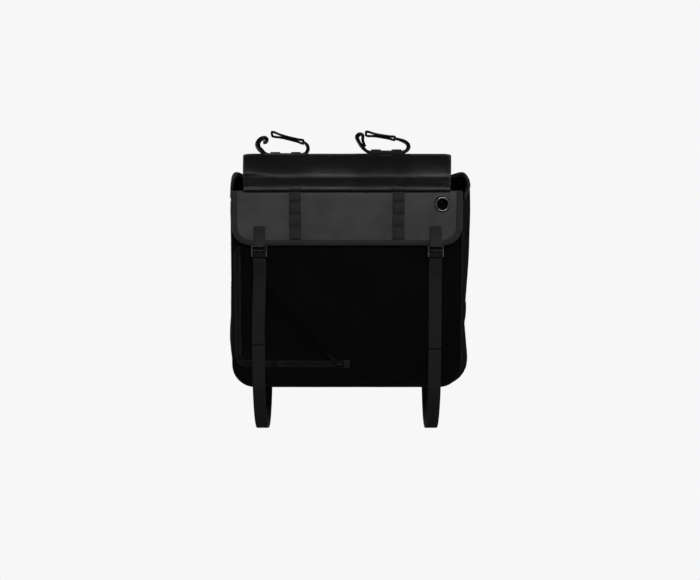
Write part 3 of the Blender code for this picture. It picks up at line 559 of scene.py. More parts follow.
def ear_top(left, share):
    """Height of an ear's edge, from the back at share 0 to the front at 1."""
    rise = (0.0045 if left else 0.0055) * bump((share - 0.35) / 0.4)
    return EAR_TOP + rise - (EAR_TOP - FRONT_TOP) * share ** (4.5 if left else 3.0)


def crown(x, height):
    """How far the front panel stands out of its seams' plane."""
    rise = math.sin(math.pi * min(1.0, max(0.0, height / 0.3))) ** 1.2
    return 0.005 * max(0.0, 1 - (x / FRONT_HALF) ** 2) * rise


def crease_distance(x, height):
    """Distance from the crease line, positive on its zip side."""
    best = None
    for (ax, ah), (bx, bh) in zip(CREASE, CREASE[1:]):
        dx, dh = bx - ax, bh - ah
        share = min(1.0, max(0.0, ((x - ax) * dx + (height - ah) * dh) / (dx * dx + dh * dh)))
        away = math.hypot(x - ax - dx * share, height - ah - dh * share)
        side = 1 if dx * (height - ah) - dh * (x - ax) > 0 else -1
        if best is None or away < abs(best):
            best = away * side
    return best


def front_y(x, height, half):
    """The front panel's outer face before it settles."""
    inside = min(half - abs(x), (height - SEAM_LIFT) * 0.8)
    panel = FRONT_Y - crown(x, height)
    away = crease_distance(x, height)
    along = step((x + 0.184) / 0.03) * step((-0.004 - x) / 0.02) * step((height - 0.038) / 0.02)
    panel += along * (0.0062 * step(away / 0.026) - 0.0022 * bump(away / 0.012))
    panel += 0.0007 * wander(x, height, 3, 0.07) * step(inside / 0.03)
    return FRONT_SEAM_Y + (panel - FRONT_SEAM_Y) * step(inside / 0.009)


def side_bulge(x, height):
    """How far a side swells: the right one fully, the left one mostly low down."""
    if x > 0:
        return 0.0185 + 0.009 * height - 0.005 * step((height - 0.325) / 0.02)
    return 0.0062 + 0.0066 * math.exp(-(((height - 0.085) / 0.06) ** 2))


def across(half, columns=COLUMNS):
    """Evenly spaced x from one edge to the other."""
    return [-half + 2 * half * i / columns for i in range(columns + 1)]


def shell_points():
    """All vertices of the shell: front grid, back grid, the back's top rows and the gusset's inside."""
    front, back, above, gusset = [], [], [], []
    for height, half in outline_rows(FRONT_TOP, FRONT_HALF):
        for x in across(half):
            front.append(at(x, front_y(x, height, half), height))
    for height, half in outline_rows(EAR_TOP, BACK_HALF):
        for x in across(half):
            inside = min(half - abs(x), height - SEAM_LIFT)
            back.append(at(x, BACK_SEAM_Y + (BACK_Y - BACK_SEAM_Y) * step(inside / 0.006), height))
    for k in range(1, TOP_ROWS + 1):
        height = EAR_TOP + (BACK_TOP - EAR_TOP) * k / TOP_ROWS
        over = max(0.0, height - (BACK_TOP - BACK_CORNER))
        half = BACK_HALF - (BACK_CORNER - math.sqrt(max(0.0, BACK_CORNER**2 - over**2)))
        for x in across(half):
            edge = step((half - abs(x)) / 0.006)
            above.append(at(x, BACK_SEAM_Y + (BACK_Y - BACK_SEAM_Y) * edge, height))
    for s in range(1, DEPTHS):
        share = s / DEPTHS
        half = BACK_HALF + (FRONT_HALF - BACK_HALF) * share
        y = BACK_SEAM_Y + (FRONT_SEAM_Y - BACK_SEAM_Y) * share
        line = u_line(ear_top(True, share), ear_top(False, share), half)
        for u, (x, height) in enumerate(line):
            a, b = line[max(0, u - 1)], line[min(AROUND - 1, u + 1)]
            run = math.hypot(b[0] - a[0], b[1] - a[1])
            along = ((b[0] - a[0]) / run, (b[1] - a[1]) / run)
            swell = 0.0018 + (side_bulge(x, height) - 0.0018) * abs(along[1])
            swell *= math.sin(math.pi * share) ** 0.9
            swell += 0.0010 * wander(height + x, y, 9, 0.06) * math.sin(math.pi * share)
            gusset.append(at(x + along[1] * swell, y, height - along[0] * swell))
    return front, back, above, gusset


def shell_faces():
    """Faces of the shell, each one's kind ("panel" or its column round the gusset), and gusset()."""
    columns, front_count = COLUMNS + 1, (ROWS + 1) * (COLUMNS + 1)
    back_start, above_start = front_count, 2 * front_count
    gusset_start = above_start + TOP_ROWS * columns

    def edge(u):
        """Index on a panel's grid of place u round the outline."""
        if u <= ROWS:
            return u * columns
        if u < ROWS + COLUMNS:
            return ROWS * columns + u - ROWS
        return (AROUND - 1 - u) * columns + COLUMNS

    def gusset(u, s):
        """Index of the vertex at u round the outline and s from back to front."""
        if s == 0:
            return back_start + edge(u)
        if s == DEPTHS:
            return edge(u)
        return gusset_start + (s - 1) * AROUND + u

    faces = grid_faces(ROWS + 1, columns, flip=True)
    kinds = ["panel"] * len(faces)
    behind = [tuple(back_start + v for v in f) for f in grid_faces(ROWS + 1, columns)]
    for k in range(TOP_ROWS):
        low = back_start if k == 0 else above_start + (k - 1) * columns
        high = above_start + k * columns
        behind += [(low + i, low + i + 1, high + i + 1, high + i)[::-1] for i in range(COLUMNS)]
    faces += behind
    kinds += ["panel"] * len(behind)
    for u in range(AROUND - 1):
        for s in range(DEPTHS):
            faces.append((gusset(u, s), gusset(u + 1, s), gusset(u + 1, s + 1), gusset(u, s + 1)))
            kinds.append(u)
    return faces, kinds, gusset


CLOTH_FRAMES, CLOTH_PRESSURE, CLOTH_SLACK, CLOTH_CAP = 26, 1.1, 0.012, 0.0055


def settle(piece, pins):
    """Runs the piece as cloth from its shape, held at the pins, and keeps each point's move under a cap."""
    rest = np.array([v.co for v in piece.data.vertices])
    group = piece.vertex_groups.new(name="pins")
    for index, weight in enumerate(pins):
        if weight > 0:
            group.add([index], weight, "REPLACE")
    made = piece.modifiers.new("cloth", "CLOTH")
    cloth = made.settings
    cloth.vertex_group_mass = "pins"
    cloth.quality = 6
    cloth.mass = 0.25
    cloth.tension_stiffness = cloth.compression_stiffness = 22
    cloth.shear_stiffness = 10
    cloth.bending_stiffness = 1.6
    cloth.air_damping = 3
    cloth.use_pressure = True
    cloth.uniform_pressure_force = CLOTH_PRESSURE
    cloth.shrink_min = -CLOTH_SLACK
    cloth.effector_weights.gravity = 0.35
    made.collision_settings.use_collision = False
    made.point_cache.frame_end = CLOTH_FRAMES
    scene = bpy.context.scene
    for number in range(1, CLOTH_FRAMES + 1):
        scene.frame_set(number)
    shape = piece.evaluated_get(bpy.context.evaluated_depsgraph_get()).data
    settled = np.array([v.co for v in shape.vertices])
    piece.modifiers.clear()
    piece.vertex_groups.clear()
    scene.frame_set(1)
    move = settled - rest
    length = np.linalg.norm(move, axis=1)
    move *= np.minimum(1.0, CLOTH_CAP / np.maximum(length, 1e-9))[:, None]
    return rest, rest + move


GUSSET_STEP = 0.0052


def build_shell():
    """The shell, its seam lines, its ears' edges, its front's surface and the mouth's edge."""
    front, back, above, gusset = shell_points()
    verts = front + back + above + gusset
    faces, kinds, index = shell_faces()
    uvs = []
    for face, kind in zip(faces, kinds):
        if kind == "panel":
            uvs.append([(verts[v].x, verts[v].z) for v in face])
        else:
            runs = (kind, kind + 1, kind + 1, kind)
            uvs.append([(run * GUSSET_STEP, verts[v].y) for run, v in zip(runs, face)])
    shell = make("bag_shell", verts, faces, BODY, uvs)
    pins = np.zeros(len(verts))
    columns = COLUMNS + 1
    pins[len(front):len(front) + len(back) + len(above)] = 1.0
    for u in range(AROUND):
        pins[index(u, DEPTHS)] = pins[index(u, 0)] = 1.0
    for s in range(1, DEPTHS):
        pins[index(0, s)] = pins[index(AROUND - 1, s)] = 0.85
    pins[:columns] = np.maximum(pins[:columns], 0.9)
    rest, moved = settle(shell, pins)
    # Under the straps and low down, the panel stays as far out as it was
    for i in range(len(front)):
        x, height = rest[i][0], rest[i][2] + ORIGIN_HEIGHT
        under_strap = 1 - bump((abs(x) - 0.1415) / 0.024)
        out = 0.0001 + 0.0012 * under_strap * step((0.225 - height) / 0.04)
        moved[i][1] = max(moved[i][1], rest[i][1] - out)
    shell.data.vertices.foreach_set("co", moved.astype(np.float32).ravel())
    shell.data.update()
    normals = [v.normal.copy() for v in shell.data.vertices]
    points = [v.co.copy() for v in shell.data.vertices]
    seams = []
    for s in (1, DEPTHS - 1):
        seams.append([[kept[index(u, s)] for u in range(AROUND)] for kept in (points, normals)])
    ears = {side: [points[index(u, s)] for s in range(DEPTHS + 1)]
            for side, u in (("left", 0), ("right", AROUND - 1))}
    tree = BVHTree.FromPolygons(points[:len(front)], grid_faces(ROWS + 1, COLUMNS + 1, flip=True))
    thicken(shell, CLOTH)
    return shell, seams, ears, tree, points[:COLUMNS + 1]


shell, seam_lines, ear_lines, FRONT_TREE, mouth_line = build_shell()
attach(shell, "bag")
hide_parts("back_panel", "front_panel", "gusset")


def on_front(x, height, lift=0.0):
    """Point on the settled front panel, lifted along its normal, and that normal."""
    hit, normal, _, _ = FRONT_TREE.ray_cast(at(x, -0.3, height), Vector((0, 1, 0)))
    if hit is None:
        hit, normal = at(x, FRONT_Y, height), Vector((0, -1, 0))
    if normal.y > 0:
        normal = -normal
    return hit + normal * lift, normal


# ---- piping, hems and the body's stitching ----------------------------------------------------
def keep(piece, body, nodes):
    """The piece rides on a body and stands for some nodes."""
    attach(piece, body)
    if nodes:
        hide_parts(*nodes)
    return piece


def piping(name, top, half, y, node):
    """A cord in its cover round a seam."""
    path = even([at(x, y, h) for x, h in u_line(top, top, half)], 0.004)
    scale = [1 + 0.05 * wander(p.x, p.z, 5, 0.02) for p in path]
    keep(tube(name, path, PIPING_RADIUS, CORD, scale=scale), "bag", [node])


piping("front_piping_cord", 0.2985, FRONT_HALF, FRONT_SEAM_Y, "front_piping")
piping("back_piping_cord", 0.3660, BACK_HALF, BACK_SEAM_Y, "back_piping")

for points, normals in seam_lines:
    stitch("bag", points, normals, **SEAM)
inset = [(-w, h + 0.006 * (1 - (h > 0.04))) for h, w in outline_rows(0.297, FRONT_HALF - 0.0060)]
inset += [(-x, h) for x, h in reversed(inset)]
row = [on_front(p.x, p.z + ORIGIN_HEIGHT) for p in even([at(x, 0, h) for x, h in inset], 0.004)]
stitch("bag", [p for p, _ in row], [n for _, n in row], **SEAM)


HEM_DEEP = 0.0085


def hem(name, points, sides, node, wide=0.0021):
    """Binding folded over an edge: a flattened tube that hangs down over both faces."""
    points = [p - Vector((0, 0, HEM_DEEP / 2 - 0.0012)) for p in even(points, 0.004)]
    keep(sweep(name, points, sides, oval(wide, HEM_DEEP / 2, 16, 0.6), DARK_TAPE), "bag", [node])


for side, sign in (("left", -1), ("right", 1)):
    edge = ear_lines[side]
    hem(f"ear_binding_{side}", edge[1:-1], (1, 0, 0), f"ear_hem_{side}")
    low = [p + Vector((sign * 0.0022, 0, -0.0052)) for p in even(edge[1:-1], 0.004)]
    stitch("bag", low, (sign, 0, 0), **SEAM)
mouth = [p + Vector((0, 0.0006, 0)) for p in mouth_line[1:-1]]
hem("mouth_binding", mouth, (0, 1, 0), "mouth_hem", wide=0.0016)


# ---- corner zip -------------------------------------------------------------------------------
def zip_line(spacing):
    """(point, normal) pairs down the zip, round its corner and along to its closed end."""
    corner = arc((ZIP_X + ZIP_RADIUS, ZIP_HEIGHT + ZIP_RADIUS), ZIP_RADIUS, 180, 270, 10)
    line = [(ZIP_X, ZIP_TOP)] + corner + [(ZIP_END_X, ZIP_HEIGHT)]
    placed = [on_front(p.x, p.z) for p in even([(x, 0, h) for x, h in line], spacing)]
    smoothed = []
    for i, (p, n) in enumerate(placed):
        near = placed[max(0, i - 3):i + 4]
        y = sum(q.y for q, _ in near) / len(near)
        smoothed.append((Vector((p.x, y, p.z)), n))
    return smoothed


def ribbon_on(name, placed, width, thickness, lift, material, shift=0.0):
    """A strip that lies on placed (point, normal) pairs, shifted sideways by shift."""
    line = [p for p, _ in placed]
    points, sides = [], []
    for i, (p, n) in enumerate(placed):
        side = heading(line, i).cross(n).normalized()
        sides.append(tuple(side))
        points.append(p + side * shift + n * lift)
    return sweep(name, points, sides, strip_section(width, thickness), material), points, sides


zip_run = zip_line(0.0035)
for index, shift in enumerate((0.0033, -0.0033)):
    tape, points, sides = ribbon_on(f"zip_tape_{index}", zip_run, 0.0046, 0.0009, 0.0005, ZIP_TAPE, shift)
    keep(tape, "bag", ["zip_tape_inner" if index else "zip_tape_outer"])
    row = [p + Vector(s) * math.copysign(1, shift) * 0.0019 + n * 0.0005
           for p, s, (_, n) in zip(points, sides, zip_run)]
    stitch("bag", row, [n for _, n in zip_run], **FINE_SEAM)

teeth_verts, teeth_faces = [], []
fine_run = zip_line(0.00115)
# A tooth's section, as (along the zip, out of it)
TOOTH = ((-0.0004, -0.0005), (0.0004, -0.0005), (0.0005, 0.0003), (0, 0.00075), (-0.0005, 0.0003))
for k in range(2, len(fine_run) - 4):
    p, n = fine_run[k]
    tangent = (fine_run[k + 1][0] - fine_run[k - 1][0]).normalized()
    side = tangent.cross(n).normalized() * (1 if k % 2 else -1)
    base, start = p + n * 0.0012, len(teeth_verts)
    for reach in (-0.0006, 0.0019):
        teeth_verts += [base + side * reach + tangent * u + n * v for u, v in TOOTH]
    teeth_faces += band(start, start + 5, 5)
    teeth_faces += [tuple(start + j for j in reversed(range(5))), tuple(start + 5 + j for j in range(5))]
teeth = make("zip_teeth", teeth_verts, teeth_faces, ZIP_COIL, smooth=False, solid=True)
keep(teeth, "bag", ["zip_coil"])


def plate(name, outline, thickness, material, edge=0.0003):
    """A flat piece from its outline in its own XZ plane, centred on y = 0, with rounded edges."""
    count = len(outline)
    centre = (sum(p[0] for p in outline) / count, sum(p[1] for p in outline) / count)

    def inset(amount):
        """The outline moved inwards."""
        ring = []
        for i, (x, z) in enumerate(outline):
            a, b = outline[i - 1], outline[(i + 1) % count]
            dx, dz = b[0] - a[0], b[1] - a[1]
            run = math.hypot(dx, dz) or 1
            ring.append((x - dz / run * amount, z + dx / run * amount))
        return ring

    half = thickness / 2
    rings = [(inset(edge), -half), (inset(edge * 0.3), -half + edge * 0.3), (outline, -half + edge),
             (outline, half - edge), (inset(edge * 0.3), half - edge * 0.3), (inset(edge), half)]
    verts = [Vector((x, y, z)) for ring, y in rings for x, z in ring]
    verts += [Vector((centre[0], -half, centre[1])), Vector((centre[0], half, centre[1]))]
    faces = []
    for r in range(5):
        faces += band((r + 1) * count, r * count, count)
    first, last = 6 * count, 6 * count + 1
    faces += [(first, j, (j + 1) % count) for j in range(count)]
    faces += [(last, 5 * count + (j + 1) % count, 5 * count + j) for j in range(count)]
    made = make(name, verts, faces, material, [(v.x, v.z) for v in verts], solid=True)
    for face in made.data.polygons[5 * count:]:
        face.use_smooth = False
    return made


def rounded(low, high, radius, steps=5):
    """A rectangle's outline with rounded corners, counterclockwise seen from the front."""
    left, bottom, right, top = low[0] + radius, low[1] + radius, high[0] - radius, high[1] - radius
    line = []
    for quarter, centre in enumerate(((right, top), (left, top), (left, bottom), (right, bottom))):
        line += arc(centre, radius, 90 * quarter, 90 * quarter + 90, steps)
    return line


def moved(piece, place, turn_y=0.0):
    """Puts a piece made round the origin in its place."""
    piece.location = place
    piece.rotation_euler = (0, turn_y, 0)
    return piece


def bored(piece, place, radius):
    """Cuts a round hole along Y."""
    place, reach = Vector(place), Vector((0, 0.02, 0))
    cutter = tube("cutter", [place - reach, place + reach], radius, BODY, 32, up=(1, 0, 0))
    made = piece.modifiers.new("bore", "BOOLEAN")
    made.object, made.operation, made.solver = cutter, "DIFFERENCE", "EXACT"
    bake(piece)
    bpy.data.objects.remove(cutter)
    return piece


garage = [on_front(x, ZIP_HEIGHT) for x in (-0.0050, -0.0025, 0.0, 0.0025, 0.0045)]
patch, _, _ = ribbon_on("zip_garage_patch", garage, 0.0130, 0.0011, 0.0011, WEB)
keep(patch, "bag", ["zip_garage"])
for x in (-0.0036, 0.0030):
    column = [on_front(x, ZIP_HEIGHT + h / 1000, 0.0016) for h in (-5.2, -2.5, 0, 2.5, 5.2)]
    stitch("bag", even([p for p, _ in column], 0.0004), (0, -1, 0), **TACK_SEAM)

under = FRONT_Y - 0.0012 - crown(SLIDER_X, ZIP_HEIGHT) - 0.0004
half = 0.0055
shape = [(-half, -0.0030), (-half + 0.002, -0.0040), (half - 0.0012, -0.0034), (half, -0.0022),
         (half, 0.0022), (half - 0.0012, 0.0034), (-half + 0.002, 0.0040), (-half, 0.0030)]
slider = moved(plate("slider_top", shape, 0.0013, GRIP, 0.0004), at(SLIDER_X, under - 0.0013, ZIP_HEIGHT))
bridge = [(-0.0040, 0.0002), (-0.0036, -0.0016), (-0.0018, -0.0027), (0.0012, -0.0027), (0.0032, -0.0016),
          (0.0036, 0.0002)]
bridge = [at(SLIDER_X + u, under - 0.0018 + v, ZIP_HEIGHT) for u, v in spline(bridge, 4)]
arch = tube("slider_bridge", bridge, 0.0009, BUCKLE, 8, up=(0, 0, 1))
keep(joined("zip_slider_body", [slider, arch]), "slider", ["zip_slider"])

grip = [(-0.0028, -0.0016), (0.004, -0.0024), (0.022, -0.0030), (0.0255, -0.0022), (0.0262, 0.0),
        (0.0255, 0.0022), (0.022, 0.0030), (0.004, 0.0024), (-0.0028, 0.0016)]
pull = plate("pull_tab", grip, 0.0014, GRIP, 0.0004)
bored(pull, (-0.0002, 0, 0), 0.0011)
parts = [pull]
for k, x in enumerate((0.0140, 0.0160, 0.0180, 0.0200, 0.0220)):
    left, right = x - 0.0004, x + 0.0004
    rib = [(left, -0.0019), (right, -0.0019), (right, 0.0019), (left, 0.0019)]
    parts.append(plate(f"pull_rib_{k}", rib, 0.0019, GRIP, 0.0002))
pull = joined("zip_pull_tab", parts)
moved(pull, at(SLIDER_X, under - 0.0034, ZIP_HEIGHT), -math.radians(PULL_ANGLE))
keep(pull, "pull", ["zip_pull"])


# ---- flap: neck -------------------------------------------------------------------------------
# Its sewn edge rises out of the hem on the back before it turns over the hinge
NECK_STEP = 0.0024
NECK_LINE = [(-0.0013, 0.3752), (-0.0013, 0.3785)] + spline(NECK_KNOTS, 6)
NECK_LINE = even([at(0, y, h) for y, h in NECK_LINE], NECK_STEP)
NECK_END = len(NECK_LINE) - 1


def neck_half(y):
    """Half of the neck's width, which narrows towards the fold and has rounded corners at the hinge."""
    narrowing = max(0.0, (HINGE[0] - y) / (HINGE[0] - FOLD[0])) ** 1.15
    corner = 0.0050 * (1 - math.sqrt(max(0.0, 1 - max(0.0, 1 - (HINGE[0] - y) / 0.007) ** 2)))
    return 0.1802 - 0.0165 * narrowing - corner


def neck_relief(x, y):
    """Creases and sags of the neck, along its normal."""
    rise = 0.0007 * wander(x, y, 11, 0.05) + 0.00035 * wander(x, y, 12, 0.019)
    left = step((-0.118 - x) / 0.050)
    rise += 0.0034 * left * bump((y + 0.083) / 0.013) - 0.0012 * left * bump((y + 0.104) / 0.012)
    rise += 0.0020 * step((-0.128 - x) / 0.035) * bump((y + 0.140) / 0.010)
    # A short diagonal crease beside the right daisy chain
    along = (x - 0.080) * 0.665 + (y + 0.136) * 0.747
    off = (x - 0.080) * 0.747 - (y + 0.136) * 0.665
    crease = -0.0015 * bump(off / 0.0055) + 0.0013 * bump((off + 0.0075) / 0.006)
    rise += crease * bump((along - 0.018) / 0.026)
    right = step((x - 0.125) / 0.03)
    return rise + 0.0010 * right * bump((y + 0.118 + 0.25 * (x - 0.15)) / 0.011)


def neck_at(i, q):
    """Point and normal of the neck's outer face, i along its profile and q from -1 to 1 across."""
    p, tangent = NECK_LINE[i], heading(NECK_LINE, i)
    normal = Vector((0, tangent.z, -tangent.y))
    x = neck_half(p.y) * q
    ends = step(i / 5) * step((NECK_END - i) / 5)
    out = neck_relief(x, p.y) * ends - 0.0016 * step((abs(q) - 0.955) / 0.045) * ends
    return Vector((x, p.y, p.z)) + normal * out, normal


NECK_COLUMNS = 84


def neck_spot(i, k):
    """The neck's point for sheet()."""
    point, _ = neck_at(i, 2 * k / NECK_COLUMNS - 1)
    return point, (point.x, i * NECK_STEP)


neck = sheet("flap_neck_cloth", NECK_END + 1, NECK_COLUMNS + 1, neck_spot, NECK, 0.0015)
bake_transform(neck)
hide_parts("flap_neck")
rows = [[neck_at(i, q) for i in range(6, NECK_END - 2)] for q in (-0.958, -0.972, 0.958, 0.972)]
rows.append([neck_at(NECK_END - 4, 2 * k / 120 - 1) for k in range(2, 119)])
for row in rows:
    stitch("flap_top", [p for p, _ in row], [n for _, n in row], **SEAM)


# ---- flap: front ------------------------------------------------------------------------------
def on_fold(piece, nodes):
    """Bakes a flap front piece's placement into its mesh and hides the nodes it stands for."""
    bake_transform(piece)
    if nodes:
        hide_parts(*nodes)
    return piece


# A dark tape along the fold seam is painted shadow: it stands for the shadow line where the neck meets the
# face
seam = [at(-0.1636 + 0.3272 * k / 90, FOLD[0] - 0.0016 + 0.0002 * math.sin(k * 0.9), FOLD[1] - 0.0006)
        for k in range(91)]
tape = sweep("fold_seam_shadow_tape", seam, (0, 0.25, 1), strip_section(0.0030, 0.0008), DARK_TAPE)
on_fold(tape, [])


def face_y(x, height):
    """The flap front's outer face."""
    y = FACE_Y + 0.0006 * wander(x, height, 21, 0.06) + 0.00025 * wander(x, height, 22, 0.02)
    y += 0.0009 * step((height - 0.3060) / 0.0095)
    edge = max(step((abs(x) - 0.160) / 0.015), step((0.243 - height) / 0.010))
    return y + 0.0003 * edge * math.sin((x + height) * 420)


def face_rows(top, bottom, half, radius, straight=20, corner=7):
    """(height, half width) down a sheet's side and round its bottom corner."""
    rows = [(top - (top - bottom - radius) * j / straight, half) for j in range(straight)]
    for k in range(corner + 1):
        a = math.pi / 2 * k / corner
        rows.append((bottom + radius * (1 - math.sin(a)), half - radius * (1 - math.cos(a))))
    return rows


def flap_sheet(name, inset, depth, thickness, material, columns=88):
    """The front's cloth or its lining, with the grommet's hole."""
    rows = face_rows(FACE_TOP, FACE_BOTTOM + inset, FACE_HALF - inset, FACE_RADIUS - inset)

    def spot(j, k):
        """The sheet's point, from its top row down."""
        height, half = rows[j]
        x = -half + 2 * half * k / columns
        return at(x, face_y(x, height) + depth, height), (x, height)

    made = sheet(name, len(rows), columns + 1, spot, material, thickness)
    return bored(made, GROMMET_PLACE, 0.0086)


on_fold(flap_sheet("flap_face_cloth", 0.0, 0.0, 0.0013, COATED), ["flap_face"])
on_fold(flap_sheet("flap_lining_cloth", 0.001, 0.0016, 0.0009, LINING), ["flap_lining"])

RIM_TOP, RIM_BOTTOM, RIM_HALF, RIM_RADIUS = 0.3140, 0.2283, 0.1830, 0.030
corner = [(-w, h) for h, w in face_rows(RIM_TOP, RIM_BOTTOM, RIM_HALF, RIM_RADIUS)]
rim = corner + [(x, RIM_BOTTOM) for x in across(RIM_HALF - RIM_RADIUS, 76)[1:-1]]
rim += [(-x, h) for x, h in reversed(corner)]
rim = even([at(x, 0, h) for x, h in rim], 0.004)
path, sides = [], []
for i, p in enumerate(rim):
    tangent = heading(rim, i)
    inward = Vector((-tangent.z, 0, tangent.x))
    x, height = p.x + inward.x * 0.005, p.z + inward.z * 0.005 + ORIGIN_HEIGHT
    path.append(Vector((p.x, face_y(x, height), p.z)))
    sides.append(tuple(inward))
w = BINDING_WIDTH
channel = [(w, -0.0004), (w, -0.0010), (w - 0.0005, -0.0013), (w / 2, -0.00145), (0.0010, -0.0013),
           (0.0001, -0.0008), (-0.0004, 0.0002), (-0.0005, 0.0012), (-0.0004, 0.0022), (0.0001, 0.0032),
           (0.0010, 0.0037), (w - 0.0005, 0.0037), (w, 0.0034), (w, 0.0029), (0.0012, 0.0029),
           (0.0006, 0.0022), (0.0006, 0.0002), (0.0012, -0.0004)]
on_fold(sweep("flap_binding_tape", path, sides, channel, TAPE), ["flap_binding"])
for depth in (0.0022, 0.0074):
    for out, facing in ((-0.0012, -1), (0.0037, 1)):
        row = [p + Vector(s) * depth + Vector((0, out, 0)) for p, s in zip(path, sides)]
        stitch("flap_front", row, (0, facing, 0), **BINDING_SEAM)


def bar_tack(group, x, height, y, width, count, tall=0.0028):
    """A dense row of upright threads across a webbing."""
    for k in range(count):
        u = x - width / 2 + width * (k + 0.5) / count
        lean = 0.0003 if k % 2 else -0.0003
        thread = [at(u - lean, y, height - tall), at(u + lean, y, height + tall)]
        stitch(group, thread, (0, -1, 0), pitch=tall, length=tall, radius=0.00027)


# The daisy chain's start over the fold, as (y, height)
DAISY_OVER = ((-0.1428, 0.3209), (-0.1495, 0.3201), (-0.1552, 0.3186), (-0.1584, 0.3152), (-0.1588, 0.3095))
for side, sign in (("left", -1), ("right", 1)):
    x = sign * DAISY_X
    path = [tuple(p) for p in spline(DAISY_OVER, 5)]
    stops = [0.3095, *DAISY_TACKS, 0.2384]
    for index, (upper, lower) in enumerate(zip(stops, stops[1:])):
        rise = (0.0004, 0.0012, 0.0012, 0.0003)[index]
        for i in range(1, 9):
            share = i / 8
            path.append((-0.1588 - rise * math.sin(math.pi * share) ** 2, upper + (lower - upper) * share))
    points = [at(x + 0.0004 * wander(h, sign, 31, 0.03), y, h) for y, h in path]
    chain = sweep(f"daisy_webbing_{side}", points, (1, 0, 0), strip_section(DAISY_WIDTH, 0.0013), FLAP_WEB)
    on_fold(chain, [f"daisy_chain_{side}"])
    for height in DAISY_TACKS:
        bar_tack("flap_front", x, height, -0.1595, DAISY_WIDTH - 0.0020, 17)


def ring(name, profile, node, steps=48):
    """A metal ring in the grommet's hole, turned about Y: the profile is a loop of (radius, forward)."""
    verts, faces, n = [], [], len(profile)
    for k in range(steps):
        a = 2 * math.pi * k / steps
        verts += [GROMMET_PLACE + Vector((r * math.cos(a), -out, r * math.sin(a))) for r, out in profile]
        faces += band(k * n, ((k + 1) % steps) * n, n)
    made = make(name, verts, faces, GUNMETAL, [(v.x, v.z) for v in verts], solid=True)
    keep(made, "flap_front", [node])


grommet = [(0.0083, -0.0040), (0.0082, -0.0010), (0.0083, 0.0006), (0.0088, 0.0018), (0.0096, 0.0026),
           (0.0104, 0.0028), (0.0112, 0.0024), (0.0120, 0.0015), (0.0127, 0.0006), (0.0130, 0.0002),
           (0.0120, 0.0001), (0.0089, 0.0001), (0.0089, -0.0040)]
ring("grommet_ring", grommet, "grommet")
washer = [(0.0091, -0.0031), (0.0091, -0.0036), (0.0095, -0.0042), (0.0108, -0.0045), (0.0121, -0.0040),
          (0.0126, -0.0034), (0.0126, -0.0031)]
ring("grommet_back_ring", washer, "grommet_washer")


# ---- buckles, tabs and straps -----------------------------------------------------------------
def prism(name, profile, low, high, material, edge=0.00035):
    """A solid between two x from its outline in (y, z), with rounded edges."""
    n = len(profile)
    verts = [Vector((x, y, z)) for x in (low, high) for y, z in profile]
    faces = [tuple(range(n)), tuple(reversed(range(n, 2 * n)))] + band(n, 0, n)
    made = make(name, verts, faces, material, [(v.x, v.z) for v in verts], solid=True)
    bevel = made.modifiers.new("edges", "BEVEL")
    bevel.width, bevel.segments = edge, 3
    bevel.limit_method, bevel.angle_limit = "ANGLE", math.radians(28)
    bevel.harden_normals = True
    return bake(made)


# The buckle's sections, as (y, z) from its upper bar
RAIL = [(0.0016, 0.0018), (-0.0030, 0.0020), (-0.0050, 0.0008), (-0.0055, -0.0095), (-0.0068, -0.0168),
        (-0.0047, -0.0175), (-0.0031, -0.0105), (-0.0006, -0.0086), (0.0016, -0.0080)]
LIP = [(-0.0034, -0.0104), (-0.0055, -0.0100), (-0.0069, -0.0172), (-0.0060, -0.0182), (-0.0048, -0.0176)]
GRIP_RIB = [(-0.0059, -0.0106), (-0.0065, -0.0108), (-0.0073, -0.0158), (-0.0067, -0.0160)]
# Two rungs in front of the webbing and two bars inside its turns, as (name, forward, drop, sides)
BARS = (("rung_0", 0.0042, 0.0004, 16), ("rung_1", 0.0046, 0.0072, 16), ("bar_0", 0.0, 0.0, 14),
        ("bar_1", 0.0, LOCK_BAR_DROP, 14))


def buckle(side):
    """A ladder-lock buckle: two rails, four bars, and a ribbed lip to lift it by."""
    inside, outside = 0.0106, 0.0124
    parts = [
        prism("rail_a", RAIL, inside, outside, BUCKLE), prism("rail_b", RAIL, -outside, -inside, BUCKLE),
        prism("lip", LIP, -outside + 0.0007, outside - 0.0007, GRIP, 0.0005),
    ]
    for name, forward, drop, sides in BARS:
        ends = [Vector((x, -forward, -drop)) for x in (-inside - 0.001, inside + 0.001)]
        parts.append(tube(name, ends, 0.0012, BUCKLE, sides, up=(0, 0, 1)))
    for k in range(7):
        u = -0.009 + 0.003 * k
        parts.append(prism(f"grip_{k}", GRIP_RIB, u - 0.0004, u + 0.0004, GRIP, 0.00015))
    made = joined(f"buckle_body_{side}", parts)
    made.location = at(BUCKLE_X[side], *BUCKLE_BAR)
    return keep(made, f"{side}_buckle", [f"buckle_{side}"])


def strap_y(height, layer):
    """Where a strap (layer 0) or the tail on it (layer 1) lies in front of the panel."""
    over_zip = 0.0013 * (1 - step((height - 0.055) / 0.03))
    rest = FRONT_Y - crown(STRAP_X["right"] - STRAP_WIDTH / 2, height) - 0.0014 - over_zip
    rest -= layer * (WEBBING + GAP)
    buckled = BUCKLE_BAR[0] + (TURN_RADIUS if layer == 0 else -TURN_RADIUS)
    return rest + (buckled - rest) * step((height - 0.170) / 0.038)


def webbing_on(name, path, middle, width, body, node, spacing=0.0012, sway=0.0, material=WEB):
    """Webbing along (y, height) points. Its middle is at one x, or at x = middle(height)."""
    line = even([at(middle(h) if callable(middle) else middle, y, h) for y, h in path], spacing)
    sides = []
    for i, p in enumerate(line):
        twist = sway * math.sin(math.pi * i / (len(line) - 1)) * wander(p.z, p.y, 41, 0.05)
        sides.append((math.cos(twist), math.sin(twist), 0))
    made = sweep(name, line, sides, strip_section(width, WEBBING * 0.95), material)
    keep(made, body, [node])


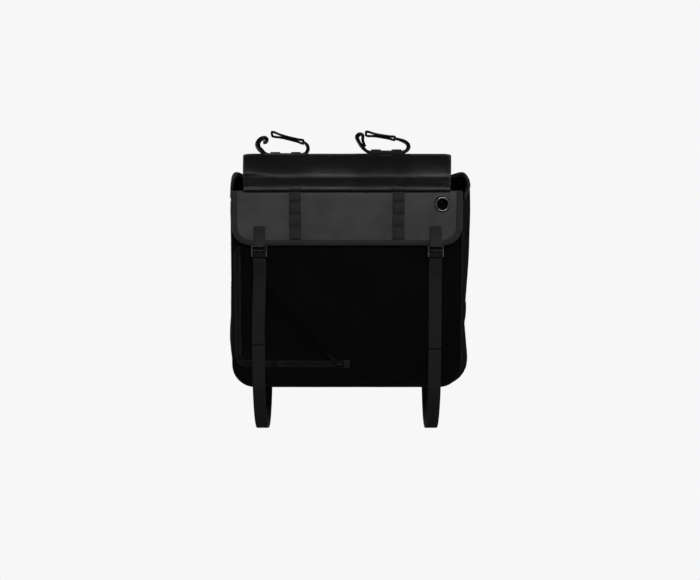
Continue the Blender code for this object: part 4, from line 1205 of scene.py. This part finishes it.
def tab_line():
    """A buckle tab's (y, height): down from its seam, round the buckle's bar and back up."""
    face = FACE_Y - GAP - WEBBING / 2
    over, turn = BUCKLE_BAR[0] + TURN_RADIUS, WEBBING + GAP
    around = arc(BUCKLE_BAR, TURN_RADIUS, 0, -180, 10)
    return ([(face, 0.2593), (face, 0.2430), (over, 0.2385), (over, 0.2320)] + around
            + [(over - turn - 0.0012, 0.2320), (over - turn, 0.2365), (over - turn, 0.2385),
               (face - turn, 0.2430), (face - turn, 0.2588)])


def box_stitch(group, x, low, high, width, y, facing):
    """Stitching in a square with a cross, on a face at y that looks towards facing."""
    left, right = x - width / 2, x + width / 2
    corners = [(left, low), (right, low), (right, high), (left, high), (left, low)]
    for line in (corners, [(left, low), (right, high)], [(right, low), (left, high)]):
        stitch(group, even([at(u, y, h) for u, h in line], 0.0005), (0, facing, 0), **BOX_SEAM)


# The loop from the sewn end on the back, round under the bag and up its front, as (y, height)
BACK_WEB_Y = -0.0015 + GAP + WEBBING / 2
LOOP = ((BACK_WEB_Y, 0.082), (BACK_WEB_Y, 0.040), (BACK_WEB_Y, 0.008), (-0.0028, -0.014), (-0.0125, -0.040),
        (-0.0270, -0.0610), (-0.0450, -0.0765), (-0.0660, -0.0835), (-0.0890, -0.0815),
        (-0.1105, -0.0705), (-0.1290, -0.0520), (-0.1430, -0.0280), (-0.1505, -0.0080), (-0.1523, 0.0050))
for side in ("left", "right"):
    end = TAIL_END[side]
    shift = BUCKLE_X[side] - STRAP_X[side]

    def middle(height):
        """The strap leans a little, from its own x low down to the buckle's."""
        return STRAP_X[side] + shift * step((height - 0.09) / 0.11)

    webbing_on(f"tab_webbing_{side}", tab_line(), BUCKLE_X[side], TAB_WIDTH, "flap_front",
               f"buckle_tab_{side}", material=FLAP_WEB)
    box_stitch("flap_front", BUCKLE_X[side], 0.2460, 0.2572, 0.0145, FACE_Y - 0.0035, -1)
    buckle(side)
    hairpin = [(TURN_RADIUS, -TURN_CUT), (TURN_RADIUS, -0.0115)]
    hairpin += arc((0, -LOCK_BAR_DROP), TURN_RADIUS, 0, 180, 10)
    hairpin += [(-TURN_RADIUS, -0.0115), (-TURN_RADIUS, -TURN_CUT)]
    hairpin = [(y + BUCKLE_BAR[0], z + BUCKLE_BAR[1]) for y, z in hairpin]
    # The strap's turn inside the buckle takes the darker webbing, which is painted shade
    webbing_on(f"strap_turn_webbing_{side}", hairpin, BUCKLE_X[side], STRAP_WIDTH,
               f"{side}_buckle", f"strap_turn_{side}", spacing=0.0008, material=SHADED_TURN_WEB)
    cut_height = BUCKLE_BAR[1] - TURN_CUT - GAP
    path = [tuple(p) for p in spline(LOOP, 5)]
    path += [(strap_y(h, 0), h) for h in (0.014 + (cut_height - 0.014) * i / 40 for i in range(41))]
    webbing_on(f"strap_webbing_{side}", path, middle, STRAP_WIDTH, "bag", f"strap_{side}",
               spacing=0.003, sway=0.10)
    down = [(strap_y(h, 1), h) for h in (cut_height + (end - cut_height) * i / 36 for i in range(37))]
    y, radius = down[-1][0], (WEBBING + GAP) / 2
    fold = arc((y - radius, end), radius, 0, -180, 8)[1:] + [(y - 2 * radius, end + 0.011)]
    webbing_on(f"strap_tail_webbing_{side}", down + fold, middle, STRAP_WIDTH - 0.0005, "bag",
               f"strap_tail_{side}", spacing=0.0011)
    for height in (end + 0.0035, end + 0.0085):
        x, face = middle(height), y - 2 * radius - 0.0007
        row = [at(x + u / 1000, face, height) for u in np.linspace(-8.6, 8.6, 40)]
        stitch("bag", row, (0, -1, 0), **BOX_SEAM)
    box_stitch("bag", STRAP_X[side], 0.046, 0.078, 0.0160, BACK_WEB_Y + 0.00072, 1)


# ---- carabiners and their loops ---------------------------------------------------------------
SPINE_Y = 0.0053
FRAME_RADIUS, WIRE_RADIUS, RIVET_RADIUS = 0.0033, 0.0022, 0.0016
# Half of the gate's loop from its pivot to its tip, as (share of its length, spread in millimetres)
GATE_LOOP = ((0.0, 0.6), (0.0, 3.5), (0.015, 4.4), (0.06, 4.3), (0.18, 3.2), (0.40, 2.8),
             (0.62, 2.9), (0.78, 4.0), (0.90, 5.6), (0.975, 5.5), (1.0, 3.8))
# Each frame's knots are (along the spine, away from it, radius), in millimetres
CARABINERS = {
    "left": {
        "x": -0.1115, "height": 0.3790, "lean": 40, "pivot": (34.5, 30.5), "tip": (-21.5, 50.0),
        "frame": (
            (-35.5, 29.6, 2.5), (-31.6, 30.0, 2.4), (-29.9, 33.6, 2.4), (-30.2, 37.2, 2.7),
            (-33.0, 39.9, 3.0), (-37.0, 39.8, 3.1), (-41.5, 36.2, 3.3), (-44.6, 30.6, 3.5),
            (-45.4, 24.0, 3.6),
            (-43.2, 16.5, 3.5), (-38.0, 9.5, 3.4), (-31.0, 3.0, 3.3), (-24.5, 0.0, 3.3),
            (-12.0, 0.0, 3.3), (4.0, 0.0, 3.3), (20.0, 0.0, 3.3), (32.5, 0.0, 3.3),
            (39.0, 3.5, 3.1), (42.6, 10.5, 2.9), (42.7, 18.5, 2.8), (39.8, 25.5, 2.8), (34.5, 30.5, 2.8),
        ),
    },
    "right": {
        "x": 0.0635, "height": 0.3835, "lean": 36, "pivot": (20.0, 31.0), "tip": (-30.3, 42.0),
        "frame": (
            (-32.3, 14.0, 1.9), (-34.8, 20.5, 2.0), (-36.2, 27.5, 2.1), (-36.0, 33.5, 2.2),
            (-36.2, 37.8, 2.3), (-38.8, 40.3, 2.5), (-42.6, 39.8, 2.9), (-45.6, 36.0, 3.1),
            (-45.8, 30.8, 2.9), (-43.2, 23.5, 2.6), (-38.8, 14.5, 2.6), (-32.0, 5.0, 2.8),
            (-24.5, 0.0, 3.2), (-12.0, 0.0, 3.3), (4.0, 0.0, 3.3), (20.0, 0.0, 3.3), (31.5, 0.0, 3.3),
            (39.0, 3.0, 3.2), (43.2, 9.5, 3.3), (42.8, 17.0, 3.2), (38.0, 23.2, 3.0), (30.0, 27.6, 2.8),
            (20.0, 31.0, 2.7),
        ),
    },
}


def carabiner(side, made):
    """One carabiner: its frame with a rivet, its wire gate and the two webbing loops that hold it."""
    lean = math.radians(made["lean"])
    origin = at(made["x"], SPINE_Y, made["height"])

    def place(u, v, w=0.0):
        """A point of the carabiner's own plane, in millimetres, with w towards the back."""
        y = w * math.cos(lean) + v * math.sin(lean)
        z = v * math.cos(lean) - w * math.sin(lean)
        return origin + Vector((u, y, z)) / 1000

    # The nose gets one more, smaller ring, so that its end is rounded
    line = spline(made["frame"], 6)
    out = (line[0] - line[1])[:2]
    tip = line[0].copy()
    tip[:2] += out / (math.hypot(*out) or 1) * 0.8
    line = [tip] + line
    scale = [r / 1000 / FRAME_RADIUS * (1 + (0.16 + 0.14 * step((-20 - u) / 12)) * step((v - 4) / 5))
             for u, v, r in line]
    scale[-12:] = [k * (1 - 0.24 * step(i / 11)) for i, k in enumerate(scale[-12:])]
    scale[0] *= 0.55
    scale[-1] *= 0.9
    points = [place(u, v) for u, v, _ in line]
    body = tube(f"carabiner_body_{side}", points, FRAME_RADIUS, ANODISED, 18, scale=scale)
    pu, pv = made["pivot"]
    points = [place(pu, pv, w) for w in (-3.3, -2.6, 2.6, 3.3)]
    rivet = tube(f"rivet_{side}", points, RIVET_RADIUS, WIRE, 16, scale=[0.6, 1, 1, 0.6], up=(1, 0, 0))
    body = joined(f"carabiner_body_{side}", [body, rivet])
    keep(body, f"{side}_carabiner", [f"carabiner_frame_{side}"])

    tu, tv = made["tip"]
    ru, rv = tu - pu, tv - pv
    half = [(pu + ru * share, pv + rv * share, -spread) for share, spread in GATE_LOOP]
    wire = half + [(u, v, -w) for u, v, w in reversed(half)]
    wire = [place(*k) for k in spline(wire, 4)]
    gate = tube(f"gate_wire_{side}", wire, WIRE_RADIUS, WIRE, 14, up=place(-rv, ru) - origin)
    keep(gate, f"{side}_gate", [f"carabiner_gate_{side}"])

    first, second = -0.0002 + GAP + WEBBING / 2, -0.0002 + 2 * GAP + WEBBING * 1.5
    top = made["height"]
    foot = top - 0.032
    path = [(first, foot), (first, top - 0.014), (first, top - 0.005)]
    path += arc((SPINE_Y, top), 0.0045, 180, -48, 18)
    path += [(second + 0.0003, top - 0.0105), (second, top - 0.0125), (second, foot + 0.001)]
    for index, offset in enumerate((-0.0135, 0.0225), 1):
        x = made["x"] + offset
        webbing_on(f"loop_webbing_{side}_{index}", path, x, LOOP_WIDTH, "bag",
                   f"carabiner_loop_{side}_{index}")
        box_stitch("bag", x, foot + 0.003, foot + 0.0165, 0.0128, second + 0.00072, 1)


for side, made in CARABINERS.items():
    carabiner(side, made)

# ---- back and inside --------------------------------------------------------------------------
flap_hem = plate("flap_hem_cloth", rounded((-0.172, 0.344), (0.172, 0.3767), 0.003), 0.0010, NECK)
keep(moved(flap_hem, (0, -0.0007, -ORIGIN_HEIGHT)), "bag", ["flap_hem"])
for height in (0.3470, 0.3495, 0.3735):
    stitch("bag", [at(x / 1000, -0.0002, height) for x in np.linspace(-168, 168, 337)], (0, 1, 0), **SEAM)

patch = rounded((-0.112, 0.060), (0.112, 0.325), 0.016, 8)
patch = plate("wear_patch_sheet", patch, 0.0012, RUBBER, 0.0004)
keep(moved(patch, (0, -0.0006, -ORIGIN_HEIGHT)), "bag", ["wear_patch"])
border = rounded((-0.1075, 0.0645), (0.1075, 0.3205), 0.012, 8)
border = even([at(x, 0.0, h) for x, h in border + border[:1]], 0.003)
stitch("bag", border, (0, 1, 0), pitch=0.0036, length=0.0024, radius=0.00030, sink=0.0002)

SLEEVE_TOP, SLEEVE_BOTTOM, SLEEVE_COLUMNS = 0.366, 0.010, 60
SLEEVE_ROWS = face_rows(SLEEVE_TOP, SLEEVE_BOTTOM, 0.1705, 0.034, 44, 6)


def sleeve_spot(j, k):
    """The sleeve's cloth, slack over its board."""
    height, half = SLEEVE_ROWS[j]
    x = -half + 2 * half * k / SLEEVE_COLUMNS
    inside = step(min(half - abs(x), height - SLEEVE_BOTTOM, SLEEVE_TOP - height) / 0.03)
    puff = 0.0007 * wander(x, height, 51, 0.05) + 0.0004 * wander(x, height, 52, 0.02)
    return at(x, -0.0086 - 0.0012 * inside + puff * inside, height), (x, height)


sleeve = sheet("board_sleeve_cloth", len(SLEEVE_ROWS), SLEEVE_COLUMNS + 1, sleeve_spot, LINING, 0.0009)
keep(sleeve, "bag", ["board_sleeve"])
rail = [at(x / 1000, -0.0092, 0.3655) for x in np.linspace(-164, 164, 60)]
trim = sweep("sleeve_binding", rail, (0, 1, 0), oval(0.0017, 0.0042, 14), TAPE)
keep(trim, "bag", [])


def pocket_spot(j, k):
    """The pocket's lining: it follows the panel from behind and stays inside the round corner."""
    height, x = 0.234 - 0.222 * j / 44, -0.172 + 0.184 * k / 37
    edge = step(min(k, 37 - k, j, 44 - j) / 5)
    point, _ = on_front(x, height)
    depth = 0.0030 + edge * (0.0016 + 0.0008 * wander(x, height, 61, 0.04))
    corner = max(0.0, 0.030 - (x + 0.172)) / 0.030 * max(0.0, 0.042 - height) / 0.030
    return Vector((x + 0.012 * corner, point.y + depth, point.z + 0.012 * corner)), (x, height)


pocket = sheet("pocket_lining_cloth", 45, 38, pocket_spot, LINING, 0.0007)
keep(pocket, "bag", ["pocket_lining"])

for node in ("back_board", "base_board"):
    mesh = frame["nodes"][node].data
    mesh.materials.clear()
    mesh.materials.append(BOARD)

# ---- thread -----------------------------------------------------------------------------------
for group, (verts, faces) in THREAD.items():
    thread = THREAD_DARK if group == "bag" else FLAP_THREAD
    piece = make(f"stitching_{group}", verts, faces, thread, smooth=False)
    if group == "flap_front":
        on_fold(piece, [])
    else:
        keep(piece, group, [])

# ---- stage, light and camera ------------------------------------------------------------------
FLOOR_Z, FLOOR_HALF = -0.80, 12.0
SEEN = 0.93
FLOOR_BOUNCE, AMBIENT = 0.14, 0.05


def seen_and_lit(owner, seen, lit, output):
    """The camera sees one shader, and the light that reaches the object comes from another."""
    owner.use_nodes = True
    tree = owner.node_tree
    tree.nodes.clear()
    path, mix, out = [tree.nodes.new(k) for k in ("ShaderNodeLightPath", "ShaderNodeMixShader", output)]
    tree.links.new(path.outputs["Is Camera Ray"], mix.inputs[0])
    for socket, (kind, values) in zip(mix.inputs[1:], (lit, seen)):
        shader = tree.nodes.new(kind)
        for key, value in values.items():
            shader.inputs[key].default_value = value
        tree.links.new(shader.outputs[0], socket)
    tree.links.new(mix.outputs[0], out.inputs["Surface"])


def stage():
    """A pale floor under an evenly pale studio."""
    shade, bounce = (SEEN, SEEN, SEEN, 1), (FLOOR_BOUNCE, FLOOR_BOUNCE, FLOOR_BOUNCE, 1)
    material = bpy.data.materials.new("pale_floor")
    glow, matt = ("ShaderNodeEmission", {"Color": shade}), ("ShaderNodeBsdfDiffuse", {"Color": bounce})
    seen_and_lit(material, glow, matt, "ShaderNodeOutputMaterial")
    corners = [(x * FLOOR_HALF, y * FLOOR_HALF, FLOOR_Z) for x, y in ((-1, -1), (1, -1), (1, 1), (-1, 1))]
    make("floor", corners, [(0, 1, 2, 3)], material, smooth=False)
    world = bpy.data.worlds.new("studio")
    bpy.context.scene.world = world
    ambient = {"Color": (1, 1, 1, 1), "Strength": AMBIENT}
    seen_and_lit(world, ("ShaderNodeBackground", {"Color": shade}), ("ShaderNodeBackground", ambient),
                 "ShaderNodeOutputWorld")


def soft_light(name, place, target, size, power):
    """A soft box that looks at its target."""
    light = bpy.data.lights.new(name, "AREA")
    light.shape = "RECTANGLE"
    light.size, light.size_y = size
    light.energy = power
    lamp = bpy.data.objects.new(name, light)
    bpy.context.scene.collection.objects.link(lamp)
    lamp.location = place
    lamp.rotation_euler = (Vector(target) - Vector(place)).to_track_quat("-Z", "Y").to_euler()
    lamp.visible_camera = False


stage()
middle_of_bag = (0, -0.08, -0.02)
soft_light("key", (0.3, -2.65, 1.35), middle_of_bag, (1.6, 0.8), 74)
soft_light("fill_right", (2.6, -1.2, 0.5), middle_of_bag, (0.9, 0.9), 10)
soft_light("fill_left", (-2.6, -1.2, 0.5), middle_of_bag, (0.9, 0.9), 7)
soft_light("backdrop", (0, 2.6, 1.5), middle_of_bag, (2.4, 0.9), 10.5)
soft_light("side_right", (3.0, 0.6, 0.45), (0.19, -0.05, 0), (1.6, 1.6), 48)
soft_light("side_left", (-3.0, 0.6, 0.45), (-0.19, -0.05, 0), (1.6, 1.6), 60)
soft_light("behind", (-0.3, 3.1, 0.12), (0, 0, 0), (2.0, 1.5), 60)

camera_data = bpy.data.cameras.new("camera")
camera_data.lens = 51.6
camera_data.sensor_width = 36
camera_data.clip_end = 100
camera = bpy.data.objects.new("camera", camera_data)
bpy.context.scene.collection.objects.link(camera)
camera.location = (0.005, -1.755, 0.112)
camera.rotation_euler = (math.radians(85), 0, 0)
bpy.context.scene.camera = camera
bpy.context.scene.view_settings.view_transform = "Standard"
bpy.context.scene.view_settings.look = "None"
